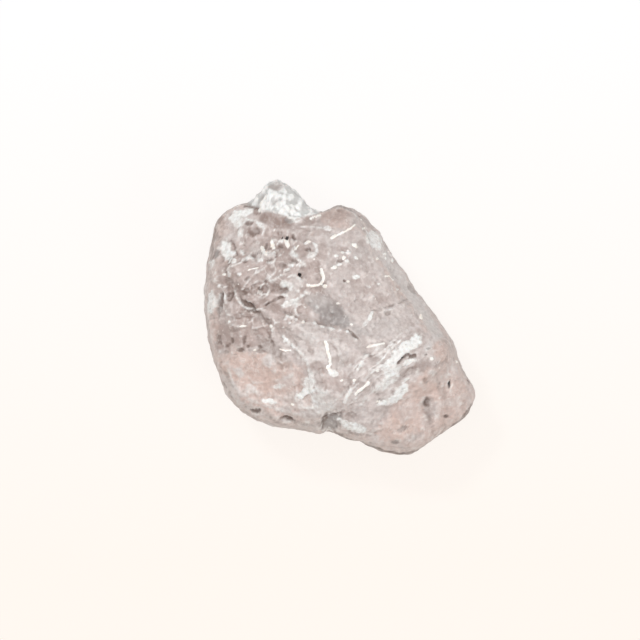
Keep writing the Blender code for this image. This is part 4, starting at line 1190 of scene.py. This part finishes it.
def pale_ground():
    """A plain sheet under the stone."""
    mesh = bpy.data.meshes.new("ground")
    ground = bmesh.new()
    bmesh.ops.create_grid(ground, x_segments=1, y_segments=1, size=GROUND_SIZE)
    ground.to_mesh(mesh)
    ground.free()
    material = bpy.data.materials.new("pale_paper")
    material.use_nodes = True
    tree = material.node_tree
    shader = tree.nodes["Principled BSDF"]
    place = add(tree, "ShaderNodeTexCoord").outputs["Object"]
    up = add(tree, "ShaderNodeSeparateXYZ", inputs={"Vector": place}).outputs["Y"]
    ends = {"Value": up, "From Min": WARM_EDGE, "From Max": COOL_EDGE}
    share = add(tree, "ShaderNodeMapRange", inputs=ends).outputs["Result"]
    glow = laid(tree, linear("#FFF7EF"), [(share, linear("#FFFEFE"))])
    tree.links.new(glow, shader.inputs["Emission Color"])
    shader.inputs["Emission Strength"].default_value = 0.91
    shader.inputs["Base Color"].default_value = linear("#505050")
    shader.inputs["Roughness"].default_value = 0.9
    shader.inputs["Specular IOR Level"].default_value = 0.1
    mesh.materials.append(material)
    floor = bpy.data.objects.new("ground", mesh)
    bpy.context.scene.collection.objects.link(floor)
    return floor


print("ground:", pale_ground().name)

# %% [markdown]
# ## The light and the camera
#
# A wide soft sky and a broad softbox overhead keep the shadows faint. A small key lamp at the upper left is
# low enough to bring out the relief, and a weak fill stands opposite. A sun lamp would do for the key, but
# its light comes from one direction alone and would cut the shadows hard. The camera looks straight down
# from far off, through a long lens, so the stone is drawn nearly without perspective.

# %% Light and camera
MIDDLE = (0.0, 0.0, 5 * MM)  # of the stone, where every lamp points
FRAME_WIDTH = 51.2 * MM  # what the camera sees across, at the height where the stone is widest
WIDEST_HEIGHT = 5 * MM
CAMERA_PLACE = (-1.54 * MM, -0.21 * MM, 305 * MM)
SENSOR = 36.0
LAMPS = (  # name, place, width in metres, power in watts
    ("key", (-0.14, 0.18, 0.33), 0.06, 0.62),
    ("softbox", (0.02, -0.01, 0.60), 0.45, 1.97),
    ("fill", (0.22, -0.20, 0.22), 0.12, 0.30),
)


def soft_lamp(name, place, size, power):
    """A square lamp that points at the stone's middle."""
    lamp = bpy.data.lights.new(name, "AREA")
    lamp.size = size
    lamp.energy = power
    holder = bpy.data.objects.new(name, lamp)
    holder.location = place
    holder.rotation_euler = (Vector(MIDDLE) - Vector(place)).to_track_quat("-Z", "Y").to_euler()
    bpy.context.scene.collection.objects.link(holder)


def sky(strength):
    """An even white sky all round."""
    world = bpy.data.worlds.new("soft_sky")
    world.use_nodes = True
    background = world.node_tree.nodes["Background"]
    background.inputs["Color"].default_value = linear("#FFFFFF")
    background.inputs["Strength"].default_value = strength
    bpy.context.scene.world = world


def camera():
    """A long lens far above the stone, looking straight down."""
    lens = bpy.data.cameras.new("camera")
    lens.sensor_width = SENSOR
    lens.lens = SENSOR * (CAMERA_PLACE[2] - WIDEST_HEIGHT) / FRAME_WIDTH
    lens.clip_start = 0.01
    holder = bpy.data.objects.new("camera", lens)
    holder.location = CAMERA_PLACE
    bpy.context.scene.collection.objects.link(holder)
    bpy.context.scene.camera = holder
    return lens


for lamp in LAMPS:
    soft_lamp(*lamp)
sky(0.275)
print("lens:", round(camera().lens), "mm")
bpy.context.scene.view_settings.view_transform = "Standard"
